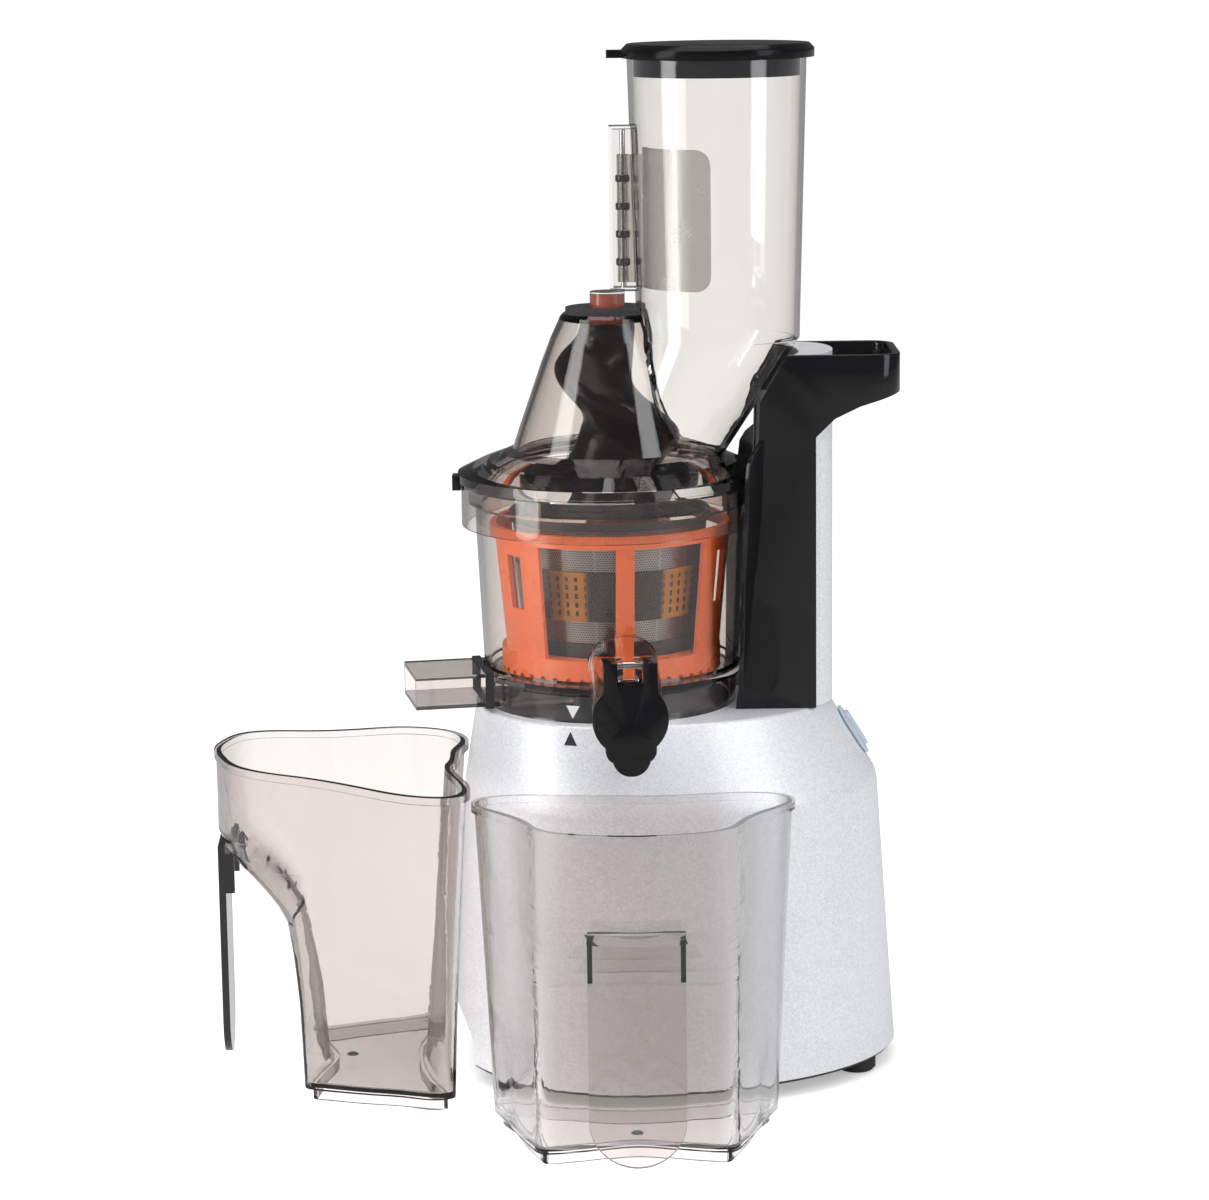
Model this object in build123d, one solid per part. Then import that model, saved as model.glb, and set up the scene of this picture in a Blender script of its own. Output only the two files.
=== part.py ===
"""Upright whole-fruit cold press juicer with its juice jug and pulp jug.

Millimetres, +Z up.  +X points to the column and handle, -Y to the juice spout, -X to
the pulp spout.  The pieces are modelled about the axis of the bowl and screw, and then
moved so that the origin is on the worktop, under the middle of the whole set.
"""
from build123d import *
import math
import os

# ---------------------------------------------------------------- driving dimensions
# fits and gaps
run_fit = 0.05          # radial clearance of a shaft in its bore
seat_gap = 0.3          # between pieces on different bodies
slip = 0.1              # between neighbours on one body
grip = 0.03             # overlap of pieces pressed together on one body

# motor base
base_bottom_z = 8.0     # lower edge of the housing above the worktop
shoulder_z = 142.0
deck_z = 179.0          # flat top of the housing, where the bowl stands
base_joint_x = 7.0      # where the two half ellipses of the plan meet
base_left = 87.0        # plan semi-axes at the lower edge
base_right = 131.0
base_half_depth = 93.0
shoulder_left = 79.0    # plan semi-axes at the shoulder
shoulder_right = 122.0
shoulder_half_depth = 87.0
deck_left = 66.0        # plan semi-axes of the deck
deck_right = 106.0
deck_half_depth = 66.0
shoulder_fillet = 16.0
deck_fillet = 2.0
housing_wall = 2.5

# feet and bottom plate
foot_radius = 9.5
foot_sink = 2.0         # how far a foot enters the bottom plate
plate_thickness = 3.0
foot_right_x = 117.0
foot_left_x = -48.0
foot_right_y = 34.0
foot_left_y = 52.0
plate_screw_right = (88.0, 46.0)
plate_screw_left = (-38.0, 42.0)
cove_radius = 26.0      # hollow along the left lower edge of the housing
cove_x = -94.0
cove_z = 10.5

# column and handle
column_half = 27.0      # half width of the silver core
band_wall = 3.2         # side plates and loop of the black band
column_top_z = 349.0
core_back_x = 107.5     # back of the silver core
band_back_x = 98.0      # back edge of the side plates below the loop
handle_end_x = 138.5
handle_depth = 18.5     # height of the loop at its free end
handle_corner = 12.0
face_thickness = 2.5    # black panel that faces the bowl
bowl_relief = ((66.5, 0.0), (72.0, 54.0), (75.8, 95.0), (77.5, 148.0), (89.2, 170.0))

# bowl
bowl_wall = 2.5
bowl_foot_radius = 60.5
bowl_step_z = 192.0
bowl_step_radius = 62.5
bowl_low_radius = 61.8
bowl_high_radius = 64.6
bowl_high_z = 264.0
rim_z = 285.0
rim_radius = 68.0
floor_z = 196.0         # inside floor of the bowl
floor_thickness = 3.0
hub_radius = 18.2       # inside radius of the hub that carries the strainer
hub_wall = 3.0

# juice spout and its drip stop
spout_azimuth = -85.0
spout_radius = 16.8
spout_wall = 2.2
spout_root = 56.0       # distance from the axis where the tube starts
spout_root_z = 210.0
spout_end = 91.0
spout_end_z = 189.0
stop_disc = 7.0         # thickness of the drip stop's disc
stop_arm = 6.3
stop_arm_spread = 25.0  # width over both arms
stop_pivot_z = 213.0
stop_pivot_out = 87.0
stop_pin_radius = 1.6
stop_tail_z = 163.0
stop_tail_width = 23.6
stop_tongue_width = 17.6
stop_tail_step = 5.6     # how far the tongue hangs below the tail
stop_opening = 75.0

# pulp spout
pulp_azimuth = 191.0
pulp_width = 40.0
pulp_bottom_z = 182.0
pulp_height = 16.0
pulp_wall = 2.0
pulp_end = 99.0
pulp_root = 22.0
seal_frame = 2.4
seal_proud = 0.9

# lid
lid_wall = 2.5
skirt_bottom_z = 266.5
skirt_radius = 71.5
flange_radius = 73.0
flange_low_z = 287.5
flange_top_z = 291.5
dome_profile = ((62.2, 296.7), (52.5, 300.3), (46.2, 303.0), (42.7, 313.5), (37.6, 328.0),
                (32.6, 342.4), (27.6, 355.4), (22.7, 366.0))
boss_radius = 8.4
boss_height = 11.5
gasket_height = 2.6
tube_x = 52.9           # centre of the feed tube
tube_top_z = 487.3
tube_top_radius = 42.5
tube_low_z = 355.0
tube_low_radius = 39.0
throat_x = 27.0
throat_z = 300.0
throat_radius = 29.0
gate_box_low_z = 378.0
gate_box_high_z = 456.0
gate_box_out = 1.5      # outer face of the hinge box along X
gate_box_half = 7.0
gate_box_wall = 1.5
gate_hinge_x = 8.0
gate_low_z = 378.5
gate_height = 67.5
gate_radius = 35.6      # outside radius of the curved gate
gate_thickness = 1.8
gate_start = 187.0
gate_end = 263.0
gate_pin_radius = 1.3
gate_corner = 7.0
gate_swing = 50.0

# chute cap
cap_radius = 45.6
cap_thickness = 6.6
cap_edge = 2.4
collar_radius = 39.4
collar_height = 8.4
cap_tab = 7.2
cap_shift = 0.6         # cap centre to the right of the tube centre

# drive
module_size = 1.5
sun_teeth = 20
idler_teeth = 18
ring_teeth = sun_teeth + 2 * idler_teeth
output_teeth = 42
layshaft_pinion_teeth = 14
layshaft_teeth = 40
motor_pinion_teeth = 12
gear_width = 5.5
backlash = 0.34
idler_azimuth = 90.0
shaft_radius = 7.0
hex_flats = 11.0
hex_start_z = 207.0
hex_length = 34.0
idler_pin_radius = 2.5
motor_radius = 32.0
motor_low_z = 40.0
motor_height = 72.0
motor_wall = 2.0
rotor_radius = 18.0
stator_wall = 10.0
motor_shaft_radius = 3.0
case_low_z = 120.0
case_high_z = 168.0
case_wall = 3.0
case_half_width = 38.0
case_left_x = -38.0
case_right_x = 96.0
case_screw_in_x = 11.0
case_screw_y = 28.0
case_corner = 18.0

# screw
screw_bottom_z = 207.0
screw_top_z = 362.0
screw_pitch = 70.0      # height of one turn of the flight
screw_reference_z = 344.6   # height at which the flight points along -X
screw_flight = ((207.0, 38.0), (262.0, 43.8), (285.0, 40.0), (299.0, 36.0), (315.0, 33.0),
                (330.0, 29.0), (345.0, 25.0), (355.0, 17.5), (362.0, 13.2))
screw_core = ((207.0, 27.0), (262.0, 24.0), (285.0, 22.0), (299.0, 18.0), (315.0, 12.5),
              (330.0, 10.5), (345.0, 12.0), (362.0, 12.9))
screw_step = 5.0        # height between two cross sections
top_pin_radius = 4.0

# strainer
strainer_low_radius = 41.5
strainer_high_radius = 47.0
strainer_low_z = 205.0
strainer_mesh_z = 212.5
strainer_high_z = 269.0
strainer_wall = 0.9
band_low_z = 225.0
band_high_z = 249.0
strainer_band_wall = 1.2

# brush
brush_ring_radius = 53.0
brush_ring_top_z = 207.5
brush_teeth_height = 6.5
brush_low_radius = 52.5
brush_high_radius = 57.6
brush_wall = 2.2
brush_top_low_z = 262.0
brush_top_z = 268.0
brush_rib_width = 8.6
brush_first_rib = -83.0
brush_panel_angle = 34.0
brush_slot_angle = 10.0
brush_slot_low_z = 230.0
brush_slot_high_z = 256.0
wiper_width = 1.4

# switch
switch_length = 27.0
switch_width = 18.0
switch_proud = 3.2
switch_swing = 8.0

# jugs
jug_back_z = 153.0      # height of the brim at the back
jug_rise = 0.088        # the brim climbs towards the nose by this much per mm
jug_base_z = 6.0        # underside of the floor
jug_full_z = 155.0      # height at which the upper outline is reached
jug_wall = 2.4
jug_floor = 3.0
jug_foot_inset = 4.0
jug_depth = 119.0       # from the back of the lobes to the tip of the nose
jug_tongue_width = 43.0
jug_tongue_low_z = 13.0
jug_tongue_top_z = 120.0
jug_tongue_thickness = 3.4
jug_tongue_rib = 4.2    # depth of the two ribs behind the tongue
jug_rib_low_z = 97.0
jug_bead = 0.9          # how far the brim stands out
jug_bead_height = 3.6
juice_jug_x = 9.0
juice_jug_y = -92.0
pulp_jug_x = -71.5
pulp_jug_y = -27.0
pulp_jug_yaw = 2.5      # the left jug stands a little askew

parts = {}


# ---------------------------------------------------------------- small helpers
def turned(points):
    """Solid of revolution about Z from (radius, z) points."""
    outline = Polyline(*[(r, 0, z) for r, z in points], close=True)
    return revolve(make_face(outline), Axis.Z, 360)


def tube(outer, inner, low, high):
    return turned([(inner, low), (outer, low), (outer, high), (inner, high)])


def rod(radius, low, high, x=0.0, y=0.0):
    return Pos(x, y, (low + high) / 2) * Cylinder(radius, high - low)


def block(x0, x1, y0, y1, z0, z1):
    centre = Pos((x0 + x1) / 2, (y0 + y1) / 2, (z0 + z1) / 2)
    return centre * Box(x1 - x0, y1 - y0, z1 - z0)


def radial(shape, azimuth):
    """Turn a shape that was modelled along +X to an azimuth."""
    return Rot(0, 0, azimuth) * shape


def level(table, z):
    """Linear value from a (z, value) table."""
    for (z0, v0), (z1, v1) in zip(table, table[1:]):
        if z <= z1:
            return v0 + (v1 - v0) * (z - z0) / (z1 - z0)
    return table[-1][1]


def plan(left, right, half_depth, joint, z):
    """Two half ellipses that meet at X = joint."""
    back = EllipticalCenterArc((joint, 0), left, half_depth, start_angle=90, arc_size=180)
    front = EllipticalCenterArc((joint, 0), right, half_depth, start_angle=270, arc_size=180)
    return Pos(0, 0, z) * make_face(back + front)


def gear_outline(teeth, thinning, addendum=1.0, dedendum=1.25):
    """Polygon of an involute spur gear with a tooth on +X."""
    pitch_r = module_size * teeth / 2
    base_r = pitch_r * math.cos(math.radians(20))
    tip_r = pitch_r + module_size * addendum
    root_r = pitch_r - module_size * dedendum
    start_r = max(base_r, root_r)

    def roll(radius):
        angle = math.acos(min(1.0, base_r / radius))
        return math.tan(angle) - angle

    half_pitch = math.pi / (2 * teeth) - thinning / (2 * pitch_r) + roll(pitch_r)
    flank = [start_r + (tip_r - start_r) * share for share in (0.0, 0.35, 0.7, 1.0)]
    points = []
    for tooth in range(teeth):
        middle = 2 * math.pi * tooth / teeth
        edge = [(root_r, half_pitch - roll(start_r) + 0.02)] if root_r < start_r else []
        edge += [(r, half_pitch - roll(r)) for r in flank]
        rising = [(r, middle - a) for r, a in edge]
        falling = [(r, middle + a) for r, a in reversed(edge)]
        points += [(r * math.cos(a), r * math.sin(a)) for r, a in rising + falling]
    return make_face(Polyline(*points, close=True))


def gear(teeth, phase, low, width, bore, x=0.0, y=0.0):
    body = extrude(gear_outline(teeth, backlash / 2), width)
    body = Pos(x, y, low) * (Rot(0, 0, phase) * body)
    return body - rod(bore, low - 1, low + width + 1, x, y)


def hexagon(flats, low, high):
    sketch = RegularPolygon(flats / math.sqrt(3), 6)
    return Pos(0, 0, low) * extrude(sketch, high - low)


def screw_head(radius, height, depth, x, y, z):
    """Pan-head screw whose head's underside is at z, pointing up into what it holds."""
    head = rod(radius, z - height, z, x, y)
    cross = block(x - radius * 0.6, x + radius * 0.6, y - 0.5, y + 0.5, z - height - 1, z - height * 0.5)
    cross += block(x - 0.5, x + 0.5, y - radius * 0.6, y + radius * 0.6, z - height - 1, z - height * 0.5)
    return head + rod(radius * 0.5, z, z + depth, x, y) - cross


# ---------------------------------------------------------------- motor base
def housing_form(inset, low, high):
    """The base's outer form, moved in by inset, between two heights."""
    bottom = plan(base_left - inset, base_right - inset, base_half_depth - inset, base_joint_x, low)
    middle = plan(shoulder_left - inset, shoulder_right - inset, shoulder_half_depth - inset,
                  base_joint_x, shoulder_z - inset / 3)
    top = plan(deck_left - inset, deck_right - inset, deck_half_depth - inset, 0, high)
    form = loft([bottom, middle], ruled=True) + loft([middle, top], ruled=True)
    shoulder = [e for e in form.edges() if abs(e.center().Z - shoulder_z + inset / 3) < 0.01]
    return fillet(shoulder, shoulder_fillet - inset)


foot_spots = [(foot_right_x, foot_right_y), (foot_right_x, -foot_right_y),
              (foot_left_x, foot_left_y), (foot_left_x, -foot_left_y)]
plate_top_z = base_bottom_z + plate_thickness / 2
plate_low_z = plate_top_z - plate_thickness

outer_form = housing_form(0, base_bottom_z, deck_z)
deck_edges = [e for e in outer_form.edges() if abs(e.center().Z - deck_z) < 0.01]
outer_form = fillet(deck_edges, deck_fillet)
inner_form = housing_form(housing_wall, base_bottom_z - 1, deck_z - housing_wall)


def cove(extra):
    """Round bar along Y that hollows out the left lower edge."""
    return Pos(cove_x, 0, cove_z) * Rot(90, 0, 0) * Cylinder(cove_radius + extra, 3 * base_half_depth)


housing = (outer_form - cove(0)) - (inner_form - cove(housing_wall))

sun_radius = module_size * sun_teeth / 2
lay_x = module_size * (output_teeth + layshaft_pinion_teeth) / 2
motor_x = lay_x + module_size * (layshaft_teeth + motor_pinion_teeth) / 2
shaft_hole = shaft_radius + 5.0
housing -= rod(shaft_hole, deck_z - housing_wall - 1, deck_z + 1)

# screw pillars: four under the deck for the gear case, four beside the feet
case_spots = [(case_left_x + case_screw_in_x, case_screw_y), (case_left_x + case_screw_in_x, -case_screw_y),
              (case_right_x - case_screw_in_x, case_screw_y), (case_right_x - case_screw_in_x, -case_screw_y)]
pillar_radius = 5.0
for x, y in case_spots:
    housing += rod(pillar_radius, case_high_z, deck_z - housing_wall + 0.2, x, y)
    housing -= rod(1.7, case_high_z - 1, deck_z - 6, x, y)
plate_spots = [(x, side * y) for x, y in (plate_screw_right, plate_screw_left) for side in (1, -1)]
for x, y in plate_spots:
    outward = 120 if y > 0 else -120
    web = block(x - 1.2, x + 1.2, min(y, outward), max(y, outward), plate_top_z, shoulder_z - 60)
    housing += (web + rod(pillar_radius, plate_top_z, shoulder_z - 60, x, y)) & outer_form
    housing -= rod(1.7, 0, 30, x, y)

# switch recess on the sloping right shoulder
slope_angle = math.degrees(math.atan2(deck_z - shoulder_z, base_joint_x + shoulder_right - deck_right))
slope_mid = Vector((deck_right + base_joint_x + shoulder_right) / 2 - 0.3, 0, (deck_z + shoulder_z) / 2 + 1.0)
switch_plane = Plane(origin=slope_mid, x_dir=(0, 1, 0), z_dir=(math.sin(math.radians(slope_angle)), 0, math.cos(math.radians(slope_angle))))
switch_hole = extrude(switch_plane * SlotOverall(switch_length - 3, switch_width - 3, rotation=90), 12, both=True)
housing -= switch_hole
cord_x = base_joint_x
cord_z = 26.0
cord_y = base_half_depth - 0.5
gland_length = 10.0
housing -= Pos(cord_x, cord_y, cord_z) * Rot(90, 0, 0) * Cylinder(6.0, 20)
parts["base_housing"] = housing

# bottom plate with its feet, vents and screws
plate = loft([plan(base_left - 1.2, base_right - 1.2, base_half_depth - 1.2, base_joint_x, plate_low_z),
              plan(base_left - 1.2, base_right - 1.2, base_half_depth - 1.2, base_joint_x, base_bottom_z - slip)], ruled=True)
lip = housing_wall + slip + 0.4
plate -= cove(slip)
plate_lip = loft([plan(base_left - lip, base_right - lip, base_half_depth - lip, base_joint_x, base_bottom_z - slip - 0.5),
                  plan(base_left - lip, base_right - lip, base_half_depth - lip, base_joint_x, plate_top_z - slip)], ruled=True)
plate += plate_lip - cove(lip)
for row in range(-3, 4):
    plate -= block(motor_x - 22, motor_x + 22, row * 8 - 1.6, row * 8 + 1.6, 0, plate_top_z + 2)
for x, y in foot_spots:
    plate -= rod(foot_radius - 3.5 + slip / 2, plate_low_z - 1, plate_low_z + foot_sink, x, y)
for x, y in plate_spots:
    plate -= rod(1.9, 0, plate_top_z + 2, x, y)
parts["bottom_plate"] = plate

feet = []
for x, y in foot_spots:
    foot = turned([(0, 0), (foot_radius - 1.5, 0), (foot_radius, 1.5), (foot_radius, plate_low_z),
                   (foot_radius - 3.5, plate_low_z), (foot_radius - 3.5, plate_low_z + foot_sink), (0, plate_low_z + foot_sink)])
    feet.append(Pos(x, y, 0) * foot)
parts["feet"] = Compound(feet)

parts["base_screws"] = Compound([screw_head(3.0, 2.0, 12.0, x, y, plate_low_z) for x, y in plate_spots])

gland = Pos(cord_x, cord_y, cord_z) * Rot(90, 0, 0) * (Cylinder(5.8, gland_length) - Cylinder(3.2, gland_length + 2))
gland += Pos(cord_x, cord_y - housing_wall - 2.2, cord_z) * Rot(90, 0, 0) * (Cylinder(8.0, 2.0) - Cylinder(3.2, 4))
parts["cord_gland"] = gland


# seat that centres the bowl on the deck
seat_disc = rod(bowl_foot_radius - bowl_wall - seat_gap - 0.2, deck_z, deck_z + 2.2)
seat_boss = rod(shaft_hole + 4.0, deck_z, floor_z - floor_thickness - 1.0 - 2 * seat_gap)
parts["bowl_seat"] = seat_disc + seat_boss - rod(shaft_radius + 1.0, deck_z - 1, floor_z)

# ---------------------------------------------------------------- column and handle
def relief(extra):
    """Tool that clears the bowl and lid out of the column's front."""
    points = [(0, deck_z - 1)] + [(r + extra, deck_z + h) for r, h in bowl_relief]
    points[1] = (points[1][0], deck_z - 1)
    points.append((points[-1][0] + 4, column_top_z + 10))
    points.append((0, column_top_z + 10))
    return turned(points)


core_plan = Polyline((40, column_half), (core_back_x - 15, column_half))
core_plan += EllipticalCenterArc((core_back_x - 15, 0), 15, column_half, start_angle=90, arc_size=-180)
core_plan += Polyline((core_back_x - 15, -column_half), (40, -column_half), (40, column_half))
core_plan = Pos(0, 0, deck_z) * make_face(core_plan)
core = extrude(core_plan, column_top_z - deck_z) - relief(face_thickness + slip)
core_hollow = block(84, core_back_x - 18, 8 - column_half, column_half - 8, deck_z - 1, column_top_z - 30)
core -= core_hollow
parts["column_core"] = core

face_blank = block(40, 100, -column_half, column_half, deck_z, column_top_z - 1.0)
parts["column_face"] = face_blank & (relief(face_thickness) - relief(0))

band_half = column_half + slip + band_wall
handle_low_z = column_top_z - handle_depth
side = Polyline((40, deck_z), (band_back_x, deck_z), (band_back_x, handle_low_z - 20.5),
                (band_back_x + 9, handle_low_z - 11.8), (band_back_x + 21, handle_low_z - 6.1),
                (handle_end_x, handle_low_z), (handle_end_x, column_top_z), (40, column_top_z), close=True)
side_face = make_face(Polyline(*[(v.X, 0, v.Y) for v in side.vertices()], close=True))
side_solid = extrude(side_face, band_half + 5, both=True)
outline = RectangleRounded(handle_end_x - 20, 2 * band_half, handle_corner)
hollow = RectangleRounded(handle_end_x - 20 - band_wall - 0.6, 2 * (column_half + slip), handle_corner - 4)
centre_x = 20 + (handle_end_x - 20) / 2
band = extrude(Pos(centre_x, 0, deck_z) * outline, column_top_z - deck_z)
band -= Pos(centre_x - (band_wall + 0.6) / 2, 0, deck_z - 1) * extrude(hollow, column_top_z - deck_z + 2)
band = (band & side_solid) - relief(0)
parts["handle_band"] = band

handle_screws = []
for z in (deck_z + 40, deck_z + 120):
    for sign in (1, -1):
        screw = Cylinder(3.0, 2.0) + Pos(0, 0, -6) * Cylinder(1.5, 11)
        screw = Pos(90, sign * (column_half - 1), z) * (Rot(-90 * sign, 0, 0) * screw)
        handle_screws.append(screw)
pocket = Compound([Pos(90, s * (column_half - 1), z) * (Rot(-90 * s, 0, 0) * (Cylinder(3.0 + slip / 2, 2.0) + Pos(0, 0, -6) * Cylinder(1.5 + slip / 2, 11.2)))
                   for z in (deck_z + 40, deck_z + 120) for s in (1, -1)])
parts["column_core"] = core - pocket
parts["handle_screws"] = Compound(handle_screws)


# ---------------------------------------------------------------- bowl
def spout_shape(radius, start, end):
    """Sloping round tube from one distance to another, along the spout's azimuth."""
    slope = (spout_end_z - spout_root_z) / (spout_end - spout_root)
    first = Plane(origin=(start, 0, spout_root_z + slope * (start - spout_root)), x_dir=(0, 1, 0), z_dir=(1, 0, 0))
    last = Plane(origin=(end, 0, spout_root_z + slope * (end - spout_root)), x_dir=(0, 1, 0), z_dir=(1, 0, 0))
    return radial(loft([first * Circle(radius), last * Circle(radius)], ruled=True), spout_azimuth)


bowl_low_z = deck_z + seat_gap
inner_high = bowl_high_radius - bowl_wall
bowl_outer = turned([(0, bowl_low_z), (bowl_foot_radius, bowl_low_z), (bowl_foot_radius, bowl_step_z),
                     (bowl_step_radius, bowl_step_z + 1), (bowl_step_radius, bowl_step_z + 6),
                     (bowl_low_radius, bowl_step_z + 7.5), (bowl_high_radius, bowl_high_z),
                     (bowl_high_radius + 0.2, rim_z - 9), (rim_radius, rim_z - 7), (rim_radius, rim_z), (0, rim_z)])
cavity = turned([(0, floor_z), (bowl_low_radius - bowl_wall, floor_z), (inner_high, bowl_high_z),
                 (inner_high + 0.4, rim_z + 1), (0, rim_z + 1)])
under = turned([(0, bowl_low_z - 1), (bowl_foot_radius - bowl_wall, bowl_low_z - 1),
                (bowl_foot_radius - bowl_wall, floor_z - floor_thickness), (0, floor_z - floor_thickness)])
bowl = bowl_outer - under

floor_low_z = floor_z - floor_thickness
pulp_high_z = pulp_bottom_z + pulp_height
pulp_half = pulp_width / 2
duct = block(pulp_root, pulp_end, -pulp_half, pulp_half, pulp_bottom_z, pulp_high_z)
duct -= block(pulp_root + pulp_wall, pulp_end + 1, pulp_wall - pulp_half, pulp_half - pulp_wall,
              pulp_bottom_z + pulp_wall, floor_low_z)
duct -= block(bowl_foot_radius, pulp_end + 1, pulp_wall - pulp_half, pulp_half - pulp_wall,
              pulp_bottom_z + pulp_wall, pulp_high_z - pulp_wall)
duct -= rod(bowl_step_radius + slip, floor_low_z - slip, pulp_high_z + 2)
parts["pulp_spout"] = radial(duct, pulp_azimuth)
duct_window = block(pulp_root + 3, strainer_low_radius - 4, -13, 13, floor_low_z - 1, floor_z + 1)
duct_pass = block(bowl_foot_radius - bowl_wall - 8, bowl_step_radius + 2, -pulp_half - slip, pulp_half + slip,
                  pulp_bottom_z - slip, floor_low_z)
bowl -= cavity
bowl -= spout_shape(spout_radius - spout_wall, spout_root - 8, spout_end + 1)
bowl -= radial(duct_window + duct_pass, pulp_azimuth)

# hub that carries the strainer, cut away where the idler gear runs
hub_top_z = strainer_low_z - 0.8
idler_distance = module_size * (sun_teeth + idler_teeth) / 2
idler_tip = module_size * (idler_teeth / 2 + 1)
idler_x = idler_distance * math.cos(math.radians(idler_azimuth))
idler_y = idler_distance * math.sin(math.radians(idler_azimuth))
hub = tube(hub_radius + hub_wall, hub_radius, floor_z - 0.5, hub_top_z)
hub -= rod(idler_tip + 0.8, floor_z, hub_top_z + 1, idler_x, idler_y)
bowl += hub
seal_radius = shaft_radius + 4.0
bowl -= rod(seal_radius, floor_z - floor_thickness - 1, floor_z + 1)
bowl -= rod(idler_pin_radius + slip / 4, floor_low_z - 1, floor_z + 1, idler_x, idler_y)

# pivot ears for the drip stop on top of the spout
ear_half = stop_arm_spread / 2 - stop_arm - seat_gap
ear_low_z = spout_end_z + spout_radius - 1.5
ears = block(stop_pivot_out - 5, spout_end, -ear_half, ear_half, ear_low_z, stop_pivot_z + 2.6)
ears -= block(stop_pivot_out - 6, spout_end + 1, 3 - ear_half, ear_half - 3, ear_low_z + 2.5, stop_pivot_z + 5)
ears -= Pos(stop_pivot_out, 0, stop_pivot_z) * Rot(90, 0, 0) * Cylinder(stop_pin_radius, 2 * ear_half + 4)
juice_spout = spout_shape(spout_radius, spout_root, spout_end) + radial(ears, spout_azimuth)
juice_spout -= spout_shape(spout_radius - spout_wall, spout_root - 8, spout_end + 1)
bowl_side = turned([(0, bowl_low_z), (bowl_step_radius + slip, bowl_low_z), (bowl_step_radius + slip, bowl_step_z + 6 + slip),
                    (bowl_low_radius + slip, bowl_step_z + 7.5 + slip), (bowl_high_radius + slip, bowl_high_z), (0, bowl_high_z)])
parts["juice_spout"] = juice_spout - bowl_side

# bayonet lugs under the rim
for azimuth in (20, 140, 260):
    lug = tube(rim_radius + 1.6, rim_radius - 1, rim_z - 6, rim_z - 3.5)
    bowl += radial(lug & block(40, 80, -9, 9, rim_z - 8, rim_z), azimuth)
parts["bowl"] = bowl

parts["bowl_shaft_seal"] = turned([(shaft_radius + 0.3, floor_z - floor_thickness - 1.0),
                                   (seal_radius + 2.0, floor_z - floor_thickness - 1.0),
                                   (seal_radius + 2.0, floor_z - floor_thickness),
                                   (seal_radius, floor_z - floor_thickness), (seal_radius, floor_z),
                                   (shaft_radius + 0.3, floor_z)])
frame_out = bowl_foot_radius + 1.0
seal_half = pulp_half + seal_proud
pulp_seal = block(frame_out, frame_out + 1.6 + seal_frame, -seal_half, seal_half,
                  pulp_bottom_z - seal_proud, pulp_high_z + seal_proud)
pulp_seal -= block(frame_out - 1, frame_out + 9, -pulp_half - slip / 2, pulp_half + slip / 2,
                   pulp_bottom_z - slip / 2, pulp_high_z + slip / 2)
pulp_seal -= turned([(0, pulp_bottom_z - 5), (bowl_step_radius + 0.1, pulp_bottom_z - 5), (bowl_step_radius + 0.1, pulp_high_z + 5), (0, pulp_high_z + 5)])
parts["pulp_spout_seal"] = radial(pulp_seal, pulp_azimuth)

# drip stop: disc, two arms and a tail for the thumb
end_face = spout_end + seat_gap
stop = Pos(end_face + stop_disc / 2, 0, spout_end_z) * Rot(0, 90, 0) * Cylinder(spout_radius + 0.3, stop_disc)
stop += Pos(end_face + 2.5, 0, spout_end_z) * Rot(0, 90, 0) * Cylinder(spout_radius + 0.9, 5)
arm_low_z = spout_end_z + 2
arm_outer = stop_arm_spread / 2
for sign in (1, -1):
    inner = sign * (arm_outer - stop_arm)
    outer = sign * arm_outer
    y0, y1 = sorted((inner, outer))
    stop += block(end_face, end_face + stop_disc, y0, y1, arm_low_z, stop_pivot_z + 3)
    stop += block(stop_pivot_out - 3, end_face + stop_disc, y0, y1, stop_pivot_z - 3, stop_pivot_z + 3)
stop -= Pos(stop_pivot_out, 0, stop_pivot_z) * Rot(90, 0, 0) * Cylinder(stop_pin_radius + run_fit, stop_arm_spread + 2)
tail_half = stop_tail_width / 2
tail_low_z = stop_tail_z + stop_tail_step
tail_front = end_face + stop_disc
tail_outline = Pos(0, (tail_low_z + spout_end_z) / 2) * RectangleRounded(stop_tail_width, spout_end_z - tail_low_z, 6.0)
tongue_outline = Pos(0, (stop_tail_z + spout_end_z - 3) / 2) * RectangleRounded(
    stop_tongue_width, spout_end_z - 3 - stop_tail_z, stop_tongue_width / 2 - 0.3)
tail_plane = Plane(origin=(end_face + 1, 0, 0), x_dir=(0, 1, 0), z_dir=(1, 0, 0))
tail = extrude(tail_plane * tail_outline, stop_disc - 1)
tail += extrude(tail_plane * tongue_outline, stop_disc + 0.8)
stop += tail
parts["drip_stop"] = radial(stop, spout_azimuth)
pin = Pos(stop_pivot_out, 0, stop_pivot_z) * Rot(90, 0, 0) * Cylinder(stop_pin_radius, stop_arm_spread)
parts["drip_stop_pin"] = radial(pin, spout_azimuth)

# ---------------------------------------------------------------- strainer
strainer_hub_in = hub_radius + 0.1
cone = ((strainer_mesh_z, strainer_low_radius), (strainer_high_z, strainer_high_radius))
web_z = hub_top_z
base_ring = turned([(strainer_hub_in, web_z), (strainer_low_radius + 1.2, web_z), (strainer_low_radius + 1.2, strainer_mesh_z + 1.5),
                    (strainer_low_radius + 0.2, strainer_mesh_z + 1.5), (strainer_low_radius + 0.05, strainer_mesh_z),
                    (strainer_low_radius - 1.2, strainer_mesh_z),
                    (strainer_low_radius - 1.2, web_z + 1.8), (strainer_hub_in, web_z + 1.8)])
pulp_gap = block(pulp_root + 3, strainer_low_radius - 4, -11, 11, web_z - 1, web_z + 3)
parts["strainer_base"] = base_ring - radial(pulp_gap, pulp_azimuth)
low_r = strainer_low_radius
high_r = strainer_high_radius
parts["strainer_mesh"] = turned([(low_r - strainer_wall, strainer_mesh_z), (low_r, strainer_mesh_z),
                                 (high_r, strainer_high_z), (high_r - strainer_wall, strainer_high_z)])
band_low_r = level(cone, band_low_z) - grip
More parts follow.
